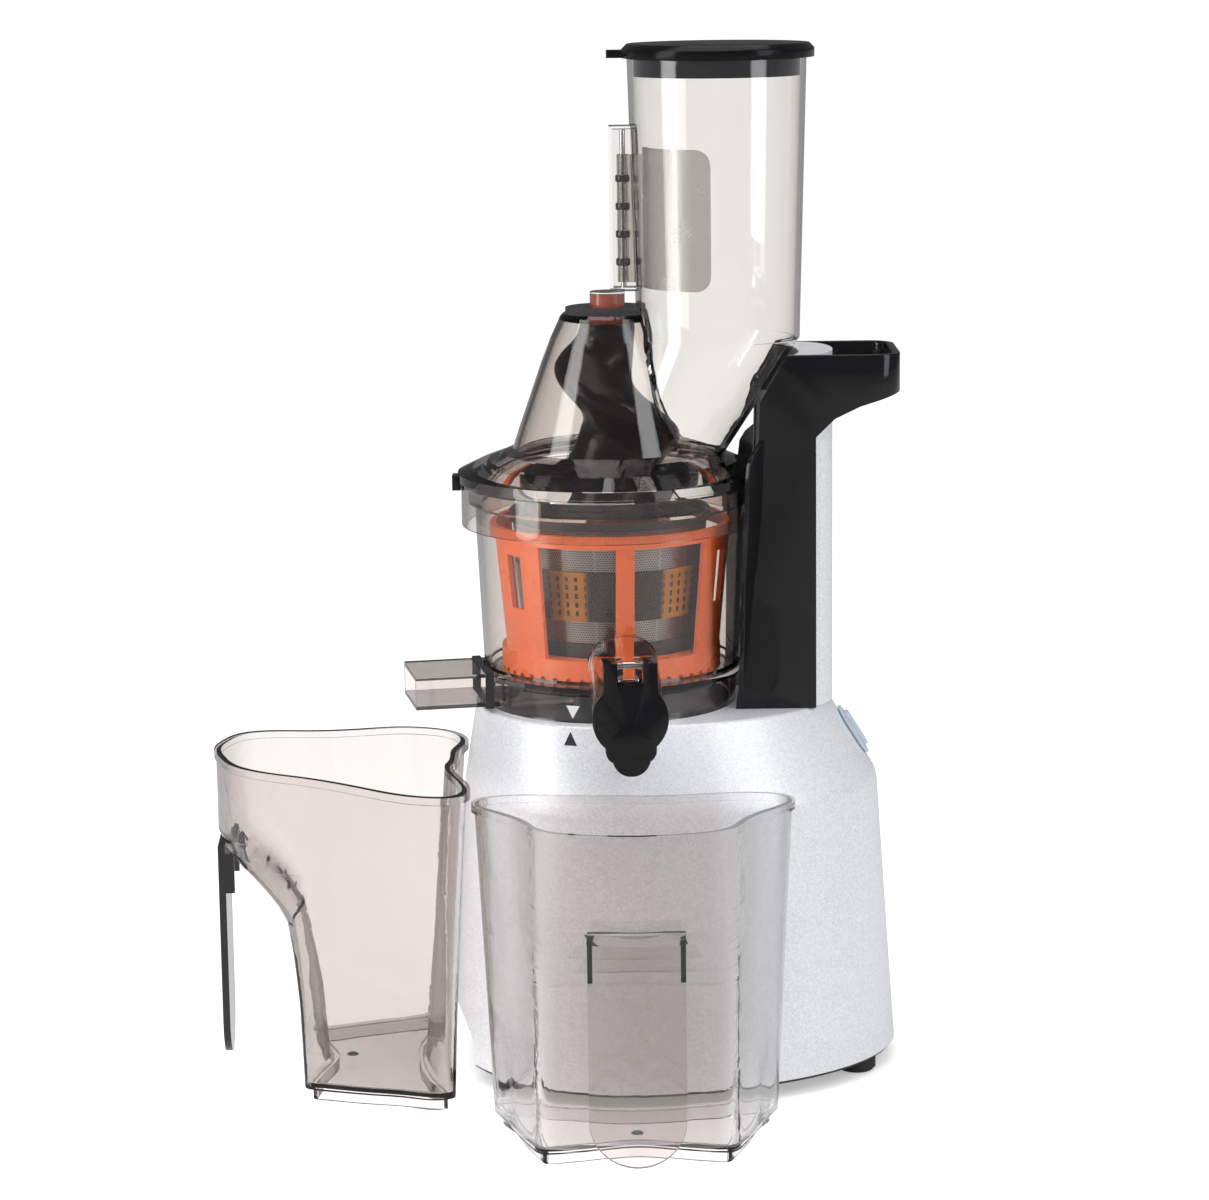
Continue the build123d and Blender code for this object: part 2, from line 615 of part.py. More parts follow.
band_high_r = level(cone, band_high_z) - grip
strainer_band = turned([(band_low_r, band_low_z), (band_low_r + strainer_band_wall, band_low_z),
                        (band_high_r + strainer_band_wall, band_high_z), (band_high_r, band_high_z)])
parts["strainer_band"] = strainer_band
parts["strainer_top_ring"] = turned([(high_r - strainer_wall, strainer_high_z), (high_r + 1.6, strainer_high_z),
                                     (high_r + 1.6, strainer_high_z + 4), (high_r - strainer_wall, strainer_high_z + 4)])


# ---------------------------------------------------------------- brush
def brush_radius(z):
    return level(((brush_ring_top_z, brush_low_radius), (brush_top_low_z, brush_high_radius)), z)


def brush_shell(thickness, low, high):
    """Conical sleeve that the ribs and panels are cut from."""
    r0 = brush_radius(low)
    r1 = brush_radius(high)
    return turned([(r0 - thickness, low), (r0, low), (r1, high), (r1 - thickness, high)])


gear_low_z = floor_z + seat_gap
gear_high_z = gear_low_z + gear_width
ring_gear_cut = extrude(gear_outline(ring_teeth, -backlash, addendum=1.25, dedendum=0.95), gear_width + 1.4)
ring_phase = idler_azimuth + 180 / ring_teeth
ring_clear = module_size * (ring_teeth / 2 + 1.25) + 0.3
brush_ring = rod(brush_ring_radius, gear_low_z, brush_ring_top_z)
brush_ring -= rod(ring_clear, gear_high_z + 0.6, brush_ring_top_z + 1)
brush_ring -= Pos(0, 0, gear_low_z - 0.5) * (Rot(0, 0, ring_phase) * ring_gear_cut)
scallops = 48
for index in range(scallops):
    notch = Pos(brush_ring_radius, 0, gear_low_z + 1.2) * Rot(0, 90, 0) * Cylinder(1.5, 5)
    brush_ring -= radial(notch, index * 360 / scallops)
brush = brush_ring
sleeve = brush_shell(brush_wall, brush_ring_top_z - 0.5, brush_top_low_z + 0.5)
for turn in range(3):
    rib = block(40, 70, -brush_rib_width / 2, brush_rib_width / 2, gear_high_z, brush_top_z)
    brush += sleeve & radial(rib, brush_first_rib + 120 * turn)
    half = math.radians(brush_panel_angle / 2)
    wedge = make_face(Polyline((0, 0), (90, -90 * math.tan(half)), (90, 90 * math.tan(half)), close=True))
    wedge = extrude(Pos(0, 0, gear_high_z) * wedge, brush_top_z - gear_high_z)
    slot_half = math.radians(brush_slot_angle / 2)
    slot = make_face(Polyline((0, 0), (90, -90 * math.tan(slot_half)), (90, 90 * math.tan(slot_half)), close=True))
    slot = extrude(Pos(0, 0, brush_slot_low_z) * slot, brush_slot_high_z - brush_slot_low_z)
    brush += sleeve & radial(wedge - slot, brush_first_rib + 60 + 120 * turn)
brush += tube(brush_high_radius + 0.4, brush_high_radius - brush_wall - 0.2, brush_top_low_z, brush_top_z)
parts["brush_frame"] = brush

wipers = []
for turn in range(3):
    low, high = brush_ring_top_z + 3, brush_top_low_z - 3
    blade = make_face(Polyline(
        (level(cone, max(low, strainer_mesh_z)) + strainer_band_wall + 0.6, 0, low),
        (brush_radius(low) - brush_wall - slip, 0, low), (brush_radius(high) - brush_wall - slip, 0, high),
        (level(cone, high) + strainer_band_wall + 0.6, 0, high), close=True))
    wipers.append(radial(extrude(blade, wiper_width / 2, both=True), brush_first_rib + 120 * turn))
parts["wiper_blades"] = Compound(wipers)

# ---------------------------------------------------------------- screw
screw_bore = hex_flats + 2 * slip
hub_low_z = gear_low_z


def screw_section(z):
    turn = 180 + (screw_reference_z - z) / screw_pitch * 360
    core_r = level(screw_core, z)
    flight_r = level(screw_flight, z)
    points = []
    for index in range(20):
        angle = 2 * math.pi * index / 20
        lobe = ((1 + math.cos(angle - math.radians(turn))) / 2) ** 2.4
        radius = core_r + (flight_r - core_r) * lobe
        points.append((radius * math.cos(angle), radius * math.sin(angle)))
    return Pos(0, 0, z) * make_face(Spline(*points, periodic=True))


screw_steps = round((screw_top_z - screw_bottom_z) / screw_step)
levels = [screw_bottom_z + (screw_top_z - screw_bottom_z) * i / screw_steps for i in range(screw_steps + 1)]
screw = loft([screw_section(z) for z in levels])
hub_outer = sun_radius - module_size * 1.25 - 1.2
screw += rod(hub_outer, hub_low_z, screw_bottom_z + 0.5)
screw += rod(top_pin_radius, screw_top_z - 1, screw_top_z + boss_height - 1)
screw -= rod(shaft_radius + run_fit, hub_low_z - 1, hex_start_z + slip)
screw -= hexagon(screw_bore, hex_start_z - 0.5, hex_start_z + hex_length + 1)
parts["screw"] = screw
parts["screw_gear"] = gear(sun_teeth, idler_azimuth, gear_low_z, gear_width, hub_outer - grip)

# idler between the screw's gear and the brush ring
parts["idler_gear"] = gear(idler_teeth, idler_azimuth + 180 + 180 / idler_teeth, gear_low_z, gear_width,
                           idler_pin_radius + run_fit, idler_x, idler_y)
idler_pin = rod(idler_pin_radius, floor_z - floor_thickness, gear_high_z + seat_gap, idler_x, idler_y)
idler_pin += rod(idler_pin_radius + 1.6, gear_high_z + seat_gap, gear_high_z + seat_gap + 1.2, idler_x, idler_y)
parts["idler_pin"] = idler_pin

# ---------------------------------------------------------------- lid
deck_under = rim_z + seat_gap
dome_inner = [(r - lid_wall, z - lid_wall * 0.35) for r, z in dome_profile]
dome_top_z = dome_profile[-1][1]
dome_outer = turned([(0, skirt_bottom_z), (skirt_radius, skirt_bottom_z), (skirt_radius, flange_low_z),
                     (flange_radius, flange_low_z), (flange_radius, flange_top_z)] + list(dome_profile)
                    + [(dome_profile[-1][0] - 1.5, dome_top_z + 1.5), (0, dome_top_z + 1.5)])
dome_hollow = turned([(0, skirt_bottom_z - 1), (skirt_radius - lid_wall, skirt_bottom_z - 1),
                      (skirt_radius - lid_wall, deck_under), (bowl_high_radius - bowl_wall, deck_under),
                      (dome_inner[0][0] - 3.0, dome_inner[0][1] - 2.0)] + dome_inner[1:-1]
                     + [(dome_inner[-1][0] + 0.6, dome_top_z - lid_wall), (0, dome_top_z - lid_wall)])


def chute(inset, low, high):
    top_r = tube_top_radius - inset
    low_r_ = tube_low_radius - inset
    neck_r = throat_radius - inset
    upper = loft([Pos(tube_x, 0, tube_low_z) * Circle(low_r_), Pos(tube_x, 0, high) * Circle(top_r)], ruled=True)
    lower = loft([Pos(throat_x, 0, low) * Circle(neck_r), Pos(tube_x, 0, tube_low_z) * Circle(low_r_)], ruled=True)
    return upper + lower


boss_top_z = dome_top_z + boss_height
throat_under = Pos(throat_x, 0, throat_z - 1) * Cylinder(throat_radius - lid_wall, 3)
lid = dome_outer + rod(boss_radius, dome_top_z, boss_top_z)
lid -= dome_hollow
lid -= chute(-slip, throat_z, tube_top_z)
lid -= throat_under
lid -= rod(top_pin_radius + 2.0, dome_top_z - lid_wall - 1, boss_top_z - 1.5)

hinge_box = block(gate_box_out, tube_x - tube_low_radius + 3, -gate_box_half, gate_box_half, gate_box_low_z, gate_box_high_z)
feed_tube = chute(0, throat_z, tube_top_z) + hinge_box
feed_tube -= dome_hollow
feed_tube -= chute(lid_wall, throat_z, tube_top_z)
feed_tube -= Pos(tube_x, 0, tube_top_z) * Cylinder(tube_top_radius - lid_wall, 0.4)
feed_tube -= throat_under
feed_tube -= block(gate_box_out + gate_box_wall, tube_x - tube_low_radius + 8, gate_box_wall - gate_box_half,
                   gate_box_half - gate_box_wall, gate_box_low_z + gate_box_wall, gate_box_high_z - gate_box_wall)
feed_tube -= rod(boss_radius + slip, dome_top_z - 1, boss_top_z + 1)
parts["feed_tube"] = feed_tube
for azimuth in (20, 140, 260):
    pocket_ring = tube(rim_radius + 2.2, rim_radius - 1, skirt_bottom_z - 1, rim_z - 3)
    lid -= radial(pocket_ring & block(40, 80, -10, 10, skirt_bottom_z - 1, rim_z - 2.5), azimuth)
parts["lid"] = lid
tab = block(skirt_radius - 1, flange_radius + 2.8, -4, 4, flange_low_z - 5, flange_top_z - 1.5)
tab -= rod(skirt_radius + slip, flange_low_z - 6, flange_low_z)
tab -= rod(flange_radius + slip, flange_low_z - slip, flange_top_z)
parts["lid_tab"] = radial(tab, 180)

gasket_r = dome_profile[-1][0] - 1.5
gasket = tube(gasket_r - 1.0, boss_radius + slip, dome_top_z + 1.5, dome_top_z + 1.5 + gasket_height)
parts["dome_gasket"] = gasket - chute(-slip, throat_z, tube_top_z)
parts["screw_top_bush"] = tube(top_pin_radius + 2.0, top_pin_radius + run_fit, dome_top_z - lid_wall, boss_top_z - 1.6)

# feed gate on its upright pin
gate_high_z = gate_low_z + gate_height
arc_mid = (gate_radius - gate_thickness / 2)


def gate_arc(radius, angle):
    a = math.radians(angle)
    return (tube_x + radius * math.cos(a), radius * math.sin(a))


half_t = gate_thickness / 2
middle_angle = (gate_start + gate_end) / 2
outer_arc = ThreePointArc(gate_arc(arc_mid + half_t, gate_start), gate_arc(arc_mid + half_t, middle_angle), gate_arc(arc_mid + half_t, gate_end))
inner_arc = ThreePointArc(gate_arc(arc_mid - half_t, gate_end), gate_arc(arc_mid - half_t, middle_angle), gate_arc(arc_mid - half_t, gate_start))
gate_plan = make_face(outer_arc + Line(outer_arc @ 1, inner_arc @ 0) + inner_arc + Line(inner_arc @ 1, outer_arc @ 0))
gate = extrude(Pos(0, 0, gate_low_z + gate_box_wall) * gate_plan, gate_height - gate_box_wall)
end_x = gate_arc(arc_mid + half_t, gate_end)[0]
for edge_z, inward in ((gate_high_z, -1), (gate_low_z + gate_box_wall, 1)):
    round_z = edge_z + inward * gate_corner
    trim_low, trim_high = sorted((round_z, edge_z - inward))
    trim = block(end_x - gate_corner, end_x + 2, -tube_low_radius, -20, trim_low, trim_high)
    gate -= trim - Pos(end_x - gate_corner, 0, round_z) * Rot(90, 0, 0) * Cylinder(gate_corner, 3 * tube_low_radius)
leaf_low_z = gate_low_z + 3.5
leaf_high_z = gate_high_z - 3.5
start_x, start_y = gate_arc(arc_mid, gate_start)
leaf = make_face(Polyline((gate_hinge_x, half_t), (gate_hinge_x, -half_t), (start_x + 0.5, start_y - half_t - 0.6),
                          (start_x + 0.5, start_y + half_t), close=True))
gate += extrude(Pos(0, 0, leaf_low_z) * leaf, leaf_high_z - leaf_low_z)
gate += rod(gate_pin_radius + 1.5, leaf_low_z, leaf_high_z, gate_hinge_x, 0)
gate -= rod(gate_pin_radius + run_fit, gate_low_z - 5, gate_high_z + 5, gate_hinge_x, 0)
parts["feed_gate"] = gate
parts["gate_pin"] = rod(gate_pin_radius, gate_box_low_z + gate_box_wall, gate_box_high_z - gate_box_wall, gate_hinge_x, 0)

# chute cap
cap_low_z = tube_top_z + seat_gap
cap_x = tube_x + cap_shift
cap = turned([(0, cap_low_z), (cap_radius, cap_low_z), (cap_radius, cap_low_z + cap_thickness - cap_edge),
              (cap_radius - cap_edge, cap_low_z + cap_thickness), (0, cap_low_z + cap_thickness)])
cap = Pos(cap_x, 0, 0) * cap
skirt = tube(collar_radius, collar_radius - 2.5, cap_low_z - collar_height, cap_low_z + 0.5)
cap += Pos(tube_x, 0, 0) * skirt
cap += block(cap_x - cap_radius - cap_tab, cap_x - cap_radius + 2, -6, 6, cap_low_z + 0.2, cap_low_z + 3.8)
parts["chute_cap"] = cap

# ---------------------------------------------------------------- drive train in the base
case_plan = Pos((case_left_x + case_right_x) / 2, 0, case_low_z) * RectangleRounded(case_right_x - case_left_x, 2 * case_half_width, case_corner)
case_inner = Pos((case_left_x + case_right_x) / 2, 0, case_low_z + case_wall) * RectangleRounded(
    case_right_x - case_left_x - 2 * case_wall, 2 * (case_half_width - case_wall), case_corner - case_wall)
split_z = case_high_z - 4.0
bearing_out = shaft_radius + 6.0
case_body = extrude(case_plan, split_z - case_low_z) - extrude(case_inner, split_z - case_low_z)
case_body -= rod(shaft_radius + 3, case_low_z - 1, case_low_z + case_wall + 1)
case_body -= rod(motor_shaft_radius + 3, case_low_z - 1, case_low_z + case_wall + 1, motor_x)
case_body -= rod(4.0, case_low_z - 1, case_low_z + case_wall + 1, lay_x)
for x, y in case_spots:
    case_body += rod(4.5, case_low_z, split_z, x, y) - rod(1.8, case_low_z - 1, split_z + 1, x, y)
    case_body -= rod(1.8, case_low_z - 1, split_z + 1, x, y)
parts["gear_case"] = case_body
case_cover = Pos(0, 0, split_z - case_low_z + slip) * extrude(case_plan, case_high_z - split_z - 2 * slip)
case_cover -= rod(bearing_out, split_z - 1, case_high_z + 1)
case_cover -= rod(4.0, split_z - 1, case_high_z - 2, lay_x)
for x, y in case_spots:
    case_cover -= rod(1.8, split_z - 1, case_high_z + 1, x, y)
parts["gear_case_cover"] = case_cover
parts["case_screws"] = Compound([screw_head(3.2, 2.2, 52.0, x, y, case_low_z) for x, y in case_spots])

parts["upper_bearing"] = tube(bearing_out, shaft_radius + run_fit, split_z + slip, case_high_z - slip)
foot_bearing_low = case_low_z
parts["lower_bearing"] = tube(shaft_radius + 3, shaft_radius - 2 + run_fit, foot_bearing_low, case_low_z + case_wall)
deck_seal_top = deck_z
parts["deck_seal"] = tube(shaft_hole, shaft_radius + 0.3, deck_z - housing_wall, deck_seal_top)

output_z = split_z - 12.0
shaft = rod(shaft_radius - 2, case_low_z, case_low_z + case_wall + 1)
shaft += rod(shaft_radius, case_low_z + case_wall + slip, hex_start_z)
shaft += hexagon(hex_flats, hex_start_z - 0.1, hex_start_z + hex_length)
parts["drive_shaft"] = shaft
wide = 8.0
parts["output_gear"] = gear(output_teeth, 0.0, output_z, wide, shaft_radius - grip)
lay_low = case_low_z
lay_high = case_high_z - 2 - slip
parts["layshaft"] = rod(4.0 - run_fit, lay_low, lay_high, lay_x)
lay_phase = 180 + 180 / layshaft_pinion_teeth
parts["layshaft_pinion"] = gear(layshaft_pinion_teeth, lay_phase, output_z - 0.5, wide + 1, 4.0 - run_fit - grip, lay_x)
lay_gear_z = case_low_z + case_wall + 4.0
parts["layshaft_gear"] = gear(layshaft_teeth, 0.0, lay_gear_z, wide, 4.0 - run_fit - grip, lay_x)
motor_pinion_phase = 180 + 180 / motor_pinion_teeth
parts["motor_pinion"] = gear(motor_pinion_teeth, motor_pinion_phase, lay_gear_z - 0.5, wide + 1, motor_shaft_radius - grip, motor_x)

motor_high_z = motor_low_z + motor_height
can = tube(motor_radius, motor_radius - motor_wall, motor_low_z, motor_high_z)
can += tube(motor_radius, motor_shaft_radius + run_fit, motor_high_z - 3, motor_high_z)
can += tube(motor_radius, motor_shaft_radius + run_fit, motor_low_z, motor_low_z + 3)
for azimuth in range(0, 360, 60):
    can -= radial(block(12, 20, -3, 3, motor_low_z - 1, motor_low_z + 4), azimuth)
for sign in (1, -1):
    post = tube(4.0, 1.6, motor_high_z - 0.5, case_low_z)
    can += Pos(-8, sign * 22, 0) * post
    can -= rod(1.6, motor_high_z - 4, case_low_z + 1, -8, sign * 22)
parts["motor_can"] = Pos(motor_x, 0, 0) * can
motor_seats = [(motor_x - 8, 22.0), (motor_x - 8, -22.0)]
stator = tube(motor_radius - motor_wall - slip / 2, motor_radius - motor_wall - stator_wall, motor_low_z + 14, motor_high_z - 14)
parts["stator"] = Pos(motor_x, 0, 0) * stator
parts["rotor"] = Pos(motor_x, 0, 0) * tube(rotor_radius, motor_shaft_radius - grip, motor_low_z + 15, motor_high_z - 15)
parts["motor_shaft"] = rod(motor_shaft_radius, motor_low_z - 14, lay_gear_z + wide + 1, motor_x)
fan = tube(7.0, motor_shaft_radius - grip, motor_low_z - 12, motor_low_z - 3)
for blade_index in range(9):
    vane = Pos(17, 0, motor_low_z - 8) * Rot(35, 0, 0) * Box(22, 1.4, 7)
    fan += radial(vane, blade_index * 40)
parts["cooling_fan"] = Pos(motor_x, 0, 0) * fan
case_floor_pins = [rod(1.5, motor_high_z - 3, case_low_z, x, y) for x, y in motor_seats]
parts["motor_screws"] = Compound(case_floor_pins)

# circuit board on the left of the motor, with its parts
board_x = motor_x - motor_radius - 12
board = block(board_x - 0.8, board_x + 0.8, -30, 30, plate_top_z + 18, plate_top_z + 78)
board += block(board_x - 12, board_x - 0.8, -22, -6, plate_top_z + 26, plate_top_z + 46)
board += Pos(board_x - 8, 12, plate_top_z + 40) * Rot(0, 0, 0) * Cylinder(6.5, 24)
board += block(board_x - 7, board_x - 0.8, -26, 26, plate_top_z + 62, plate_top_z + 70)
parts["control_board"] = board
rails = block(board_x - 3, board_x + 3, -34, -28.5, plate_top_z - slip, plate_top_z + 80)
rails += block(board_x - 3, board_x + 3, 28.5, 34, plate_top_z - slip, plate_top_z + 80)
rails += block(board_x - 3, board_x + 3, -34, 34, plate_top_z - slip, plate_top_z + 3)
rails -= block(board_x - 0.9, board_x + 0.9, -30.1, 30.1, plate_top_z + 17.9, plate_top_z + 81)
parts["board_rails"] = rails


# ---------------------------------------------------------------- switch
def on_slope(sketch, low, high):
    return Pos(0, 0, 0) * extrude(Plane(origin=switch_plane.origin + switch_plane.z_dir * low,
                                        x_dir=(0, 1, 0), z_dir=switch_plane.z_dir) * sketch, high - low)


bezel = on_slope(SlotOverall(switch_length, switch_width, rotation=90), 0.0, 1.4)
bezel += on_slope(SlotOverall(switch_length - 3.2, switch_width - 3.2, rotation=90), -8.0, 0.1)
bezel -= on_slope(SlotOverall(switch_length - 6, switch_width - 6, rotation=90), -6.5, 3.0)
pivot_radius = 1.1
pivot_axis = Pos(*switch_plane.origin) * Rot(90, 0, 0)
bezel -= pivot_axis * Cylinder(pivot_radius + run_fit, switch_width - 3.6)
parts["switch_body"] = bezel
rocker = on_slope(SlotOverall(switch_length - 7.4, switch_width - 7.4, rotation=90), -2.0, switch_proud)
parts["switch_rocker"] = rocker + pivot_axis * Cylinder(pivot_radius, switch_width - 4.0)


# ---------------------------------------------------------------- jugs
# half outlines from the middle of the back round to the nose, as (along, across)
jug_foot = ((19.5, 0), (17, 22), (11.5, 45), (7.5, 57), (8, 63), (13.5, 66), (30, 61.5), (48, 56),
            (64, 50.5), (73, 47), (78.5, 43), (79, 36.5), (75, 20), (70, 0))
jug_brim = ((6, 0), (3.5, 28), (-1, 50), (0.5, 61), (6.5, 69.5), (17, 73), (32, 71), (46, 64),
            (61, 56), (78, 49.5), (94, 45), (107.5, 36), (115.5, 19), (jug_depth, 0))
# share of the way out that the nose has reached at a height
nose_share = ((6.0, 0.0), (45.0, 0.055), (70.0, 0.14), (86.0, 0.22), (94.0, 0.36), (103.0, 0.58),
              (112.0, 0.83), (118.0, 0.94), (125.0, 1.0))
jug_levels = (6.0, 45.0, 70.0, 80.0, 86.0, 94.0, 103.0, 108.0, 112.0, 118.0, 125.0, 155.0, 168.0)


def jug_outline(z, inset):
    """Plan of the jug at a height, moved in by inset."""
    rise = (z - jug_base_z) / (jug_full_z - jug_base_z)
    forward = level(nose_share, z)
    side = []
    for index, ((u0, w0), (u1, w1)) in enumerate(zip(jug_foot, jug_brim)):
        blend = min(1.0, max(0.0, (index - 6) / 3))
        share = rise + (forward - rise) * blend
        side.append((u0 + (u1 - u0) * share, w0 + (w1 - w0) * share))
    ring = side + [(u, -w) for u, w in side[-2:0:-1]]
    if inset == 0:
        return ring
    moved = []
    for (u0, w0), (u1, w1), (u2, w2) in zip(ring[-1:] + ring[:-1], ring, ring[1:] + ring[:1]):
        length = math.hypot(u2 - u0, w2 - w0)
        moved.append((u1 + inset * (w2 - w0) / length, w1 - inset * (u2 - u0) / length))
    return moved


def jug_face(z, inset, height=None):
    return Pos(0, 0, z if height is None else height) * make_face(Spline(*jug_outline(z, inset), periodic=True))


def brim_slab(low, high):
    """Flat slab that follows the climb of the brim."""
    climb = math.degrees(math.atan(jug_rise))
    return Pos(0, 0, jug_back_z) * Rot(0, -climb, 0) * block(-60, 200, -120, 120, low, high)


def jug():
    inside_levels = [jug_base_z + jug_floor] + list(jug_levels[1:])
    hollow = loft([jug_face(z, jug_wall) for z in inside_levels], ruled=True)
    body = loft([jug_face(z, 0) for z in jug_levels], ruled=True) - hollow
    body -= brim_slab(0, 60)
    bead = extrude(jug_face(162, -jug_bead, 140), 30) - extrude(jug_face(162, jug_wall - 0.6, 139), 32)
    body += bead & brim_slab(-jug_bead_height, 0)
    foot = extrude(jug_face(jug_base_z, jug_foot_inset, 0), jug_base_z + 0.5)
    body += foot - extrude(jug_face(jug_base_z, jug_foot_inset + jug_wall, -1), jug_base_z + 1)
    tongue_front = jug_depth - 0.6
    tongue_back = tongue_front - jug_tongue_thickness
    tongue_half = jug_tongue_width / 2
    round_z = jug_tongue_low_z + tongue_half
    tongue = block(tongue_back, tongue_front, -tongue_half, tongue_half, round_z, jug_tongue_top_z)
    tongue += Pos((tongue_back + tongue_front) / 2, 0, round_z) * Rot(0, 90, 0) * Cylinder(tongue_half, jug_tongue_thickness)
    for side in (1, -1):
        y0, y1 = sorted((side * tongue_half, side * (tongue_half - 2.2)))
        tongue += block(tongue_back - jug_tongue_rib, tongue_back + 0.5, y0, y1, jug_rib_low_z, jug_tongue_top_z - 4)
    return body + (tongue - hollow)


jug_shape = jug()
parts["juice_jug"] = Pos(juice_jug_x, juice_jug_y, 0) * Rot(0, 0, -90) * jug_shape
parts["pulp_jug"] = Pos(pulp_jug_x, pulp_jug_y, 0) * Rot(0, 0, 180 + pulp_jug_yaw) * jug_shape

# ---------------------------------------------------------------- middle of the set
left_end = pulp_jug_x - jug_depth - jug_bead
front_end = juice_jug_y - jug_depth - jug_bead
back_end = cord_y + gland_length / 2
home = Pos(-(left_end + handle_end_x) / 2, -(front_end + back_end) / 2, 0)

os.makedirs("parts", exist_ok=True)
for name, shape in parts.items():
    placed = home * shape
    export_step(placed if isinstance(placed, Compound) else Compound([placed]), f"parts/{name}.step")
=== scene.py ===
import math

import bpy
import bmesh
from mathutils import Matrix, Vector


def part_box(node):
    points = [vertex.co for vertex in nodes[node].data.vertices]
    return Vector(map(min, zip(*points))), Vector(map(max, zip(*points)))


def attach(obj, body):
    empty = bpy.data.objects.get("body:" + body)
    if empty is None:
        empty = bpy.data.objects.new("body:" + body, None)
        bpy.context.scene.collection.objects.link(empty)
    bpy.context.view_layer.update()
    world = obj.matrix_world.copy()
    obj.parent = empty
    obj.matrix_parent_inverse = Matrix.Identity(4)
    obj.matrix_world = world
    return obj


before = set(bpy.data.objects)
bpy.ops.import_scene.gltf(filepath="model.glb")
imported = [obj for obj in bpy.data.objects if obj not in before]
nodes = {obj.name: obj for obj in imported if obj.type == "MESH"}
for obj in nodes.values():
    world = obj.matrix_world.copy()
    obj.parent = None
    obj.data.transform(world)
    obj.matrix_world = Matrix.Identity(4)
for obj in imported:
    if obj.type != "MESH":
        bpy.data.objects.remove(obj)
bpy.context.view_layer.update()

MM = 0.001


def box_middle(name):
    """Middle of a node's box along X and Y, in metres in the row frame."""
    low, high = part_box(name)
    return (low.x + high.x) / 2, (low.y + high.y) / 2


AXIS_X, AXIS_Y = box_middle("drive_shaft")      # the axis of the bowl and screw


def at(x, y, z):
    """Point given in millimetres about the bowl axis, in the row frame in metres."""
    return Vector((x * MM + AXIS_X, y * MM + AXIS_Y, z * MM))


# each jug: its node, how far it is turned about +Z (degrees) and where its back wall stands (mm)
JUGS = (("juice_jug", -90.0, (9.0, -92.0)),
        ("pulp_jug", 182.5, (-71.5, -27.0)))
JUICE_JUG_X = JUGS[0][2][0]
SIDE_REFLECTION_SPAN = (0.036, 0.056)     # metres from its middle over which the front jug's painted side reflection comes in


def within(value, span):
    return span[0] < value < span[1]


# ---------------------------------------------------------------- node helpers
class Tree:
    """Small wrapper that adds nodes to one material."""

    def __init__(self, name):
        self.material = bpy.data.materials.new(name)
        self.material.use_nodes = True
        self.nodes = self.material.node_tree.nodes
        self.links = self.material.node_tree.links
        self.shader = self.nodes["Principled BSDF"]

    def add(self, kind, **values):
        node = self.nodes.new(kind)
        for key, value in values.items():
            setattr(node, key, value)
        return node

    def link(self, source, target):
        self.links.new(source, target)

    def math(self, operation, first, second=None):
        node = self.add("ShaderNodeMath", operation=operation)
        for index, value in enumerate((first, second)):
            if value is None:
                continue
            if isinstance(value, (int, float)):
                node.inputs[index].default_value = value
            else:
                self.link(value, node.inputs[index])
        return node.outputs[0]

    def coords(self):
        return self.add("ShaderNodeTexCoord").outputs["Object"]

    def split_coords(self):
        """X, Y and Z of the shaded point, as sockets."""
        split = self.add("ShaderNodeSeparateXYZ")
        self.link(self.coords(), split.inputs[0])
        return split.outputs

    def noise(self, scale, detail=3.0, rough=0.5, stretch=None):
        node = self.add("ShaderNodeTexNoise")
        node.inputs["Scale"].default_value = scale
        node.inputs["Detail"].default_value = detail
        node.inputs["Roughness"].default_value = rough
        vector = self.coords()
        if stretch:
            mapping = self.add("ShaderNodeMapping")
            mapping.inputs["Scale"].default_value = stretch
            self.link(vector, mapping.inputs["Vector"])
            vector = mapping.outputs[0]
        self.link(vector, node.inputs["Vector"])
        return node.outputs["Fac"]

    def spread(self, value, low, high, out_low, out_high):
        """Maps low..high of a socket to out_low..out_high, held at both ends."""
        node = self.add("ShaderNodeMapRange")
        ends = (("From Min", low), ("From Max", high), ("To Min", out_low), ("To Max", out_high))
        for key, number in ends:
            node.inputs[key].default_value = number
        self.link(value, node.inputs["Value"])
        return node.outputs["Result"]

    def mix(self, factor, first, second):
        node = self.add("ShaderNodeMix", data_type="RGBA")
        for socket, value in ((node.inputs[0], factor), (node.inputs[6], first), (node.inputs[7], second)):
            if isinstance(value, (int, float)):
                socket.default_value = value
            elif isinstance(value, tuple):
                socket.default_value = (*value, 1.0)
            else:
                self.link(value, socket)
        return node.outputs[2]

    def bump(self, height, strength, distance):
        node = self.add("ShaderNodeBump")
        node.inputs["Strength"].default_value = strength
        node.inputs["Distance"].default_value = distance
        self.link(height, node.inputs["Height"])
        self.link(node.outputs[0], self.shader.inputs["Normal"])

    def base(self, colour):
        """Base colour, from a socket."""
        self.link(colour, self.shader.inputs["Base Color"])

    def set(self, **values):
        names = {"metallic": "Metallic", "roughness": "Roughness", "ior": "IOR",
                 "coat": "Coat Weight", "coat_roughness": "Coat Roughness",
                 "specular": "Specular IOR Level", "transmission": "Transmission Weight",
                 "subsurface": "Subsurface Weight"}
        for key, value in values.items():
            socket = self.shader.inputs[names[key]]
            if isinstance(value, (int, float)):
                socket.default_value = value
            else:
                self.link(value, socket)


def scaled(colour, factor):
    return tuple(min(1.0, c * factor) for c in colour)


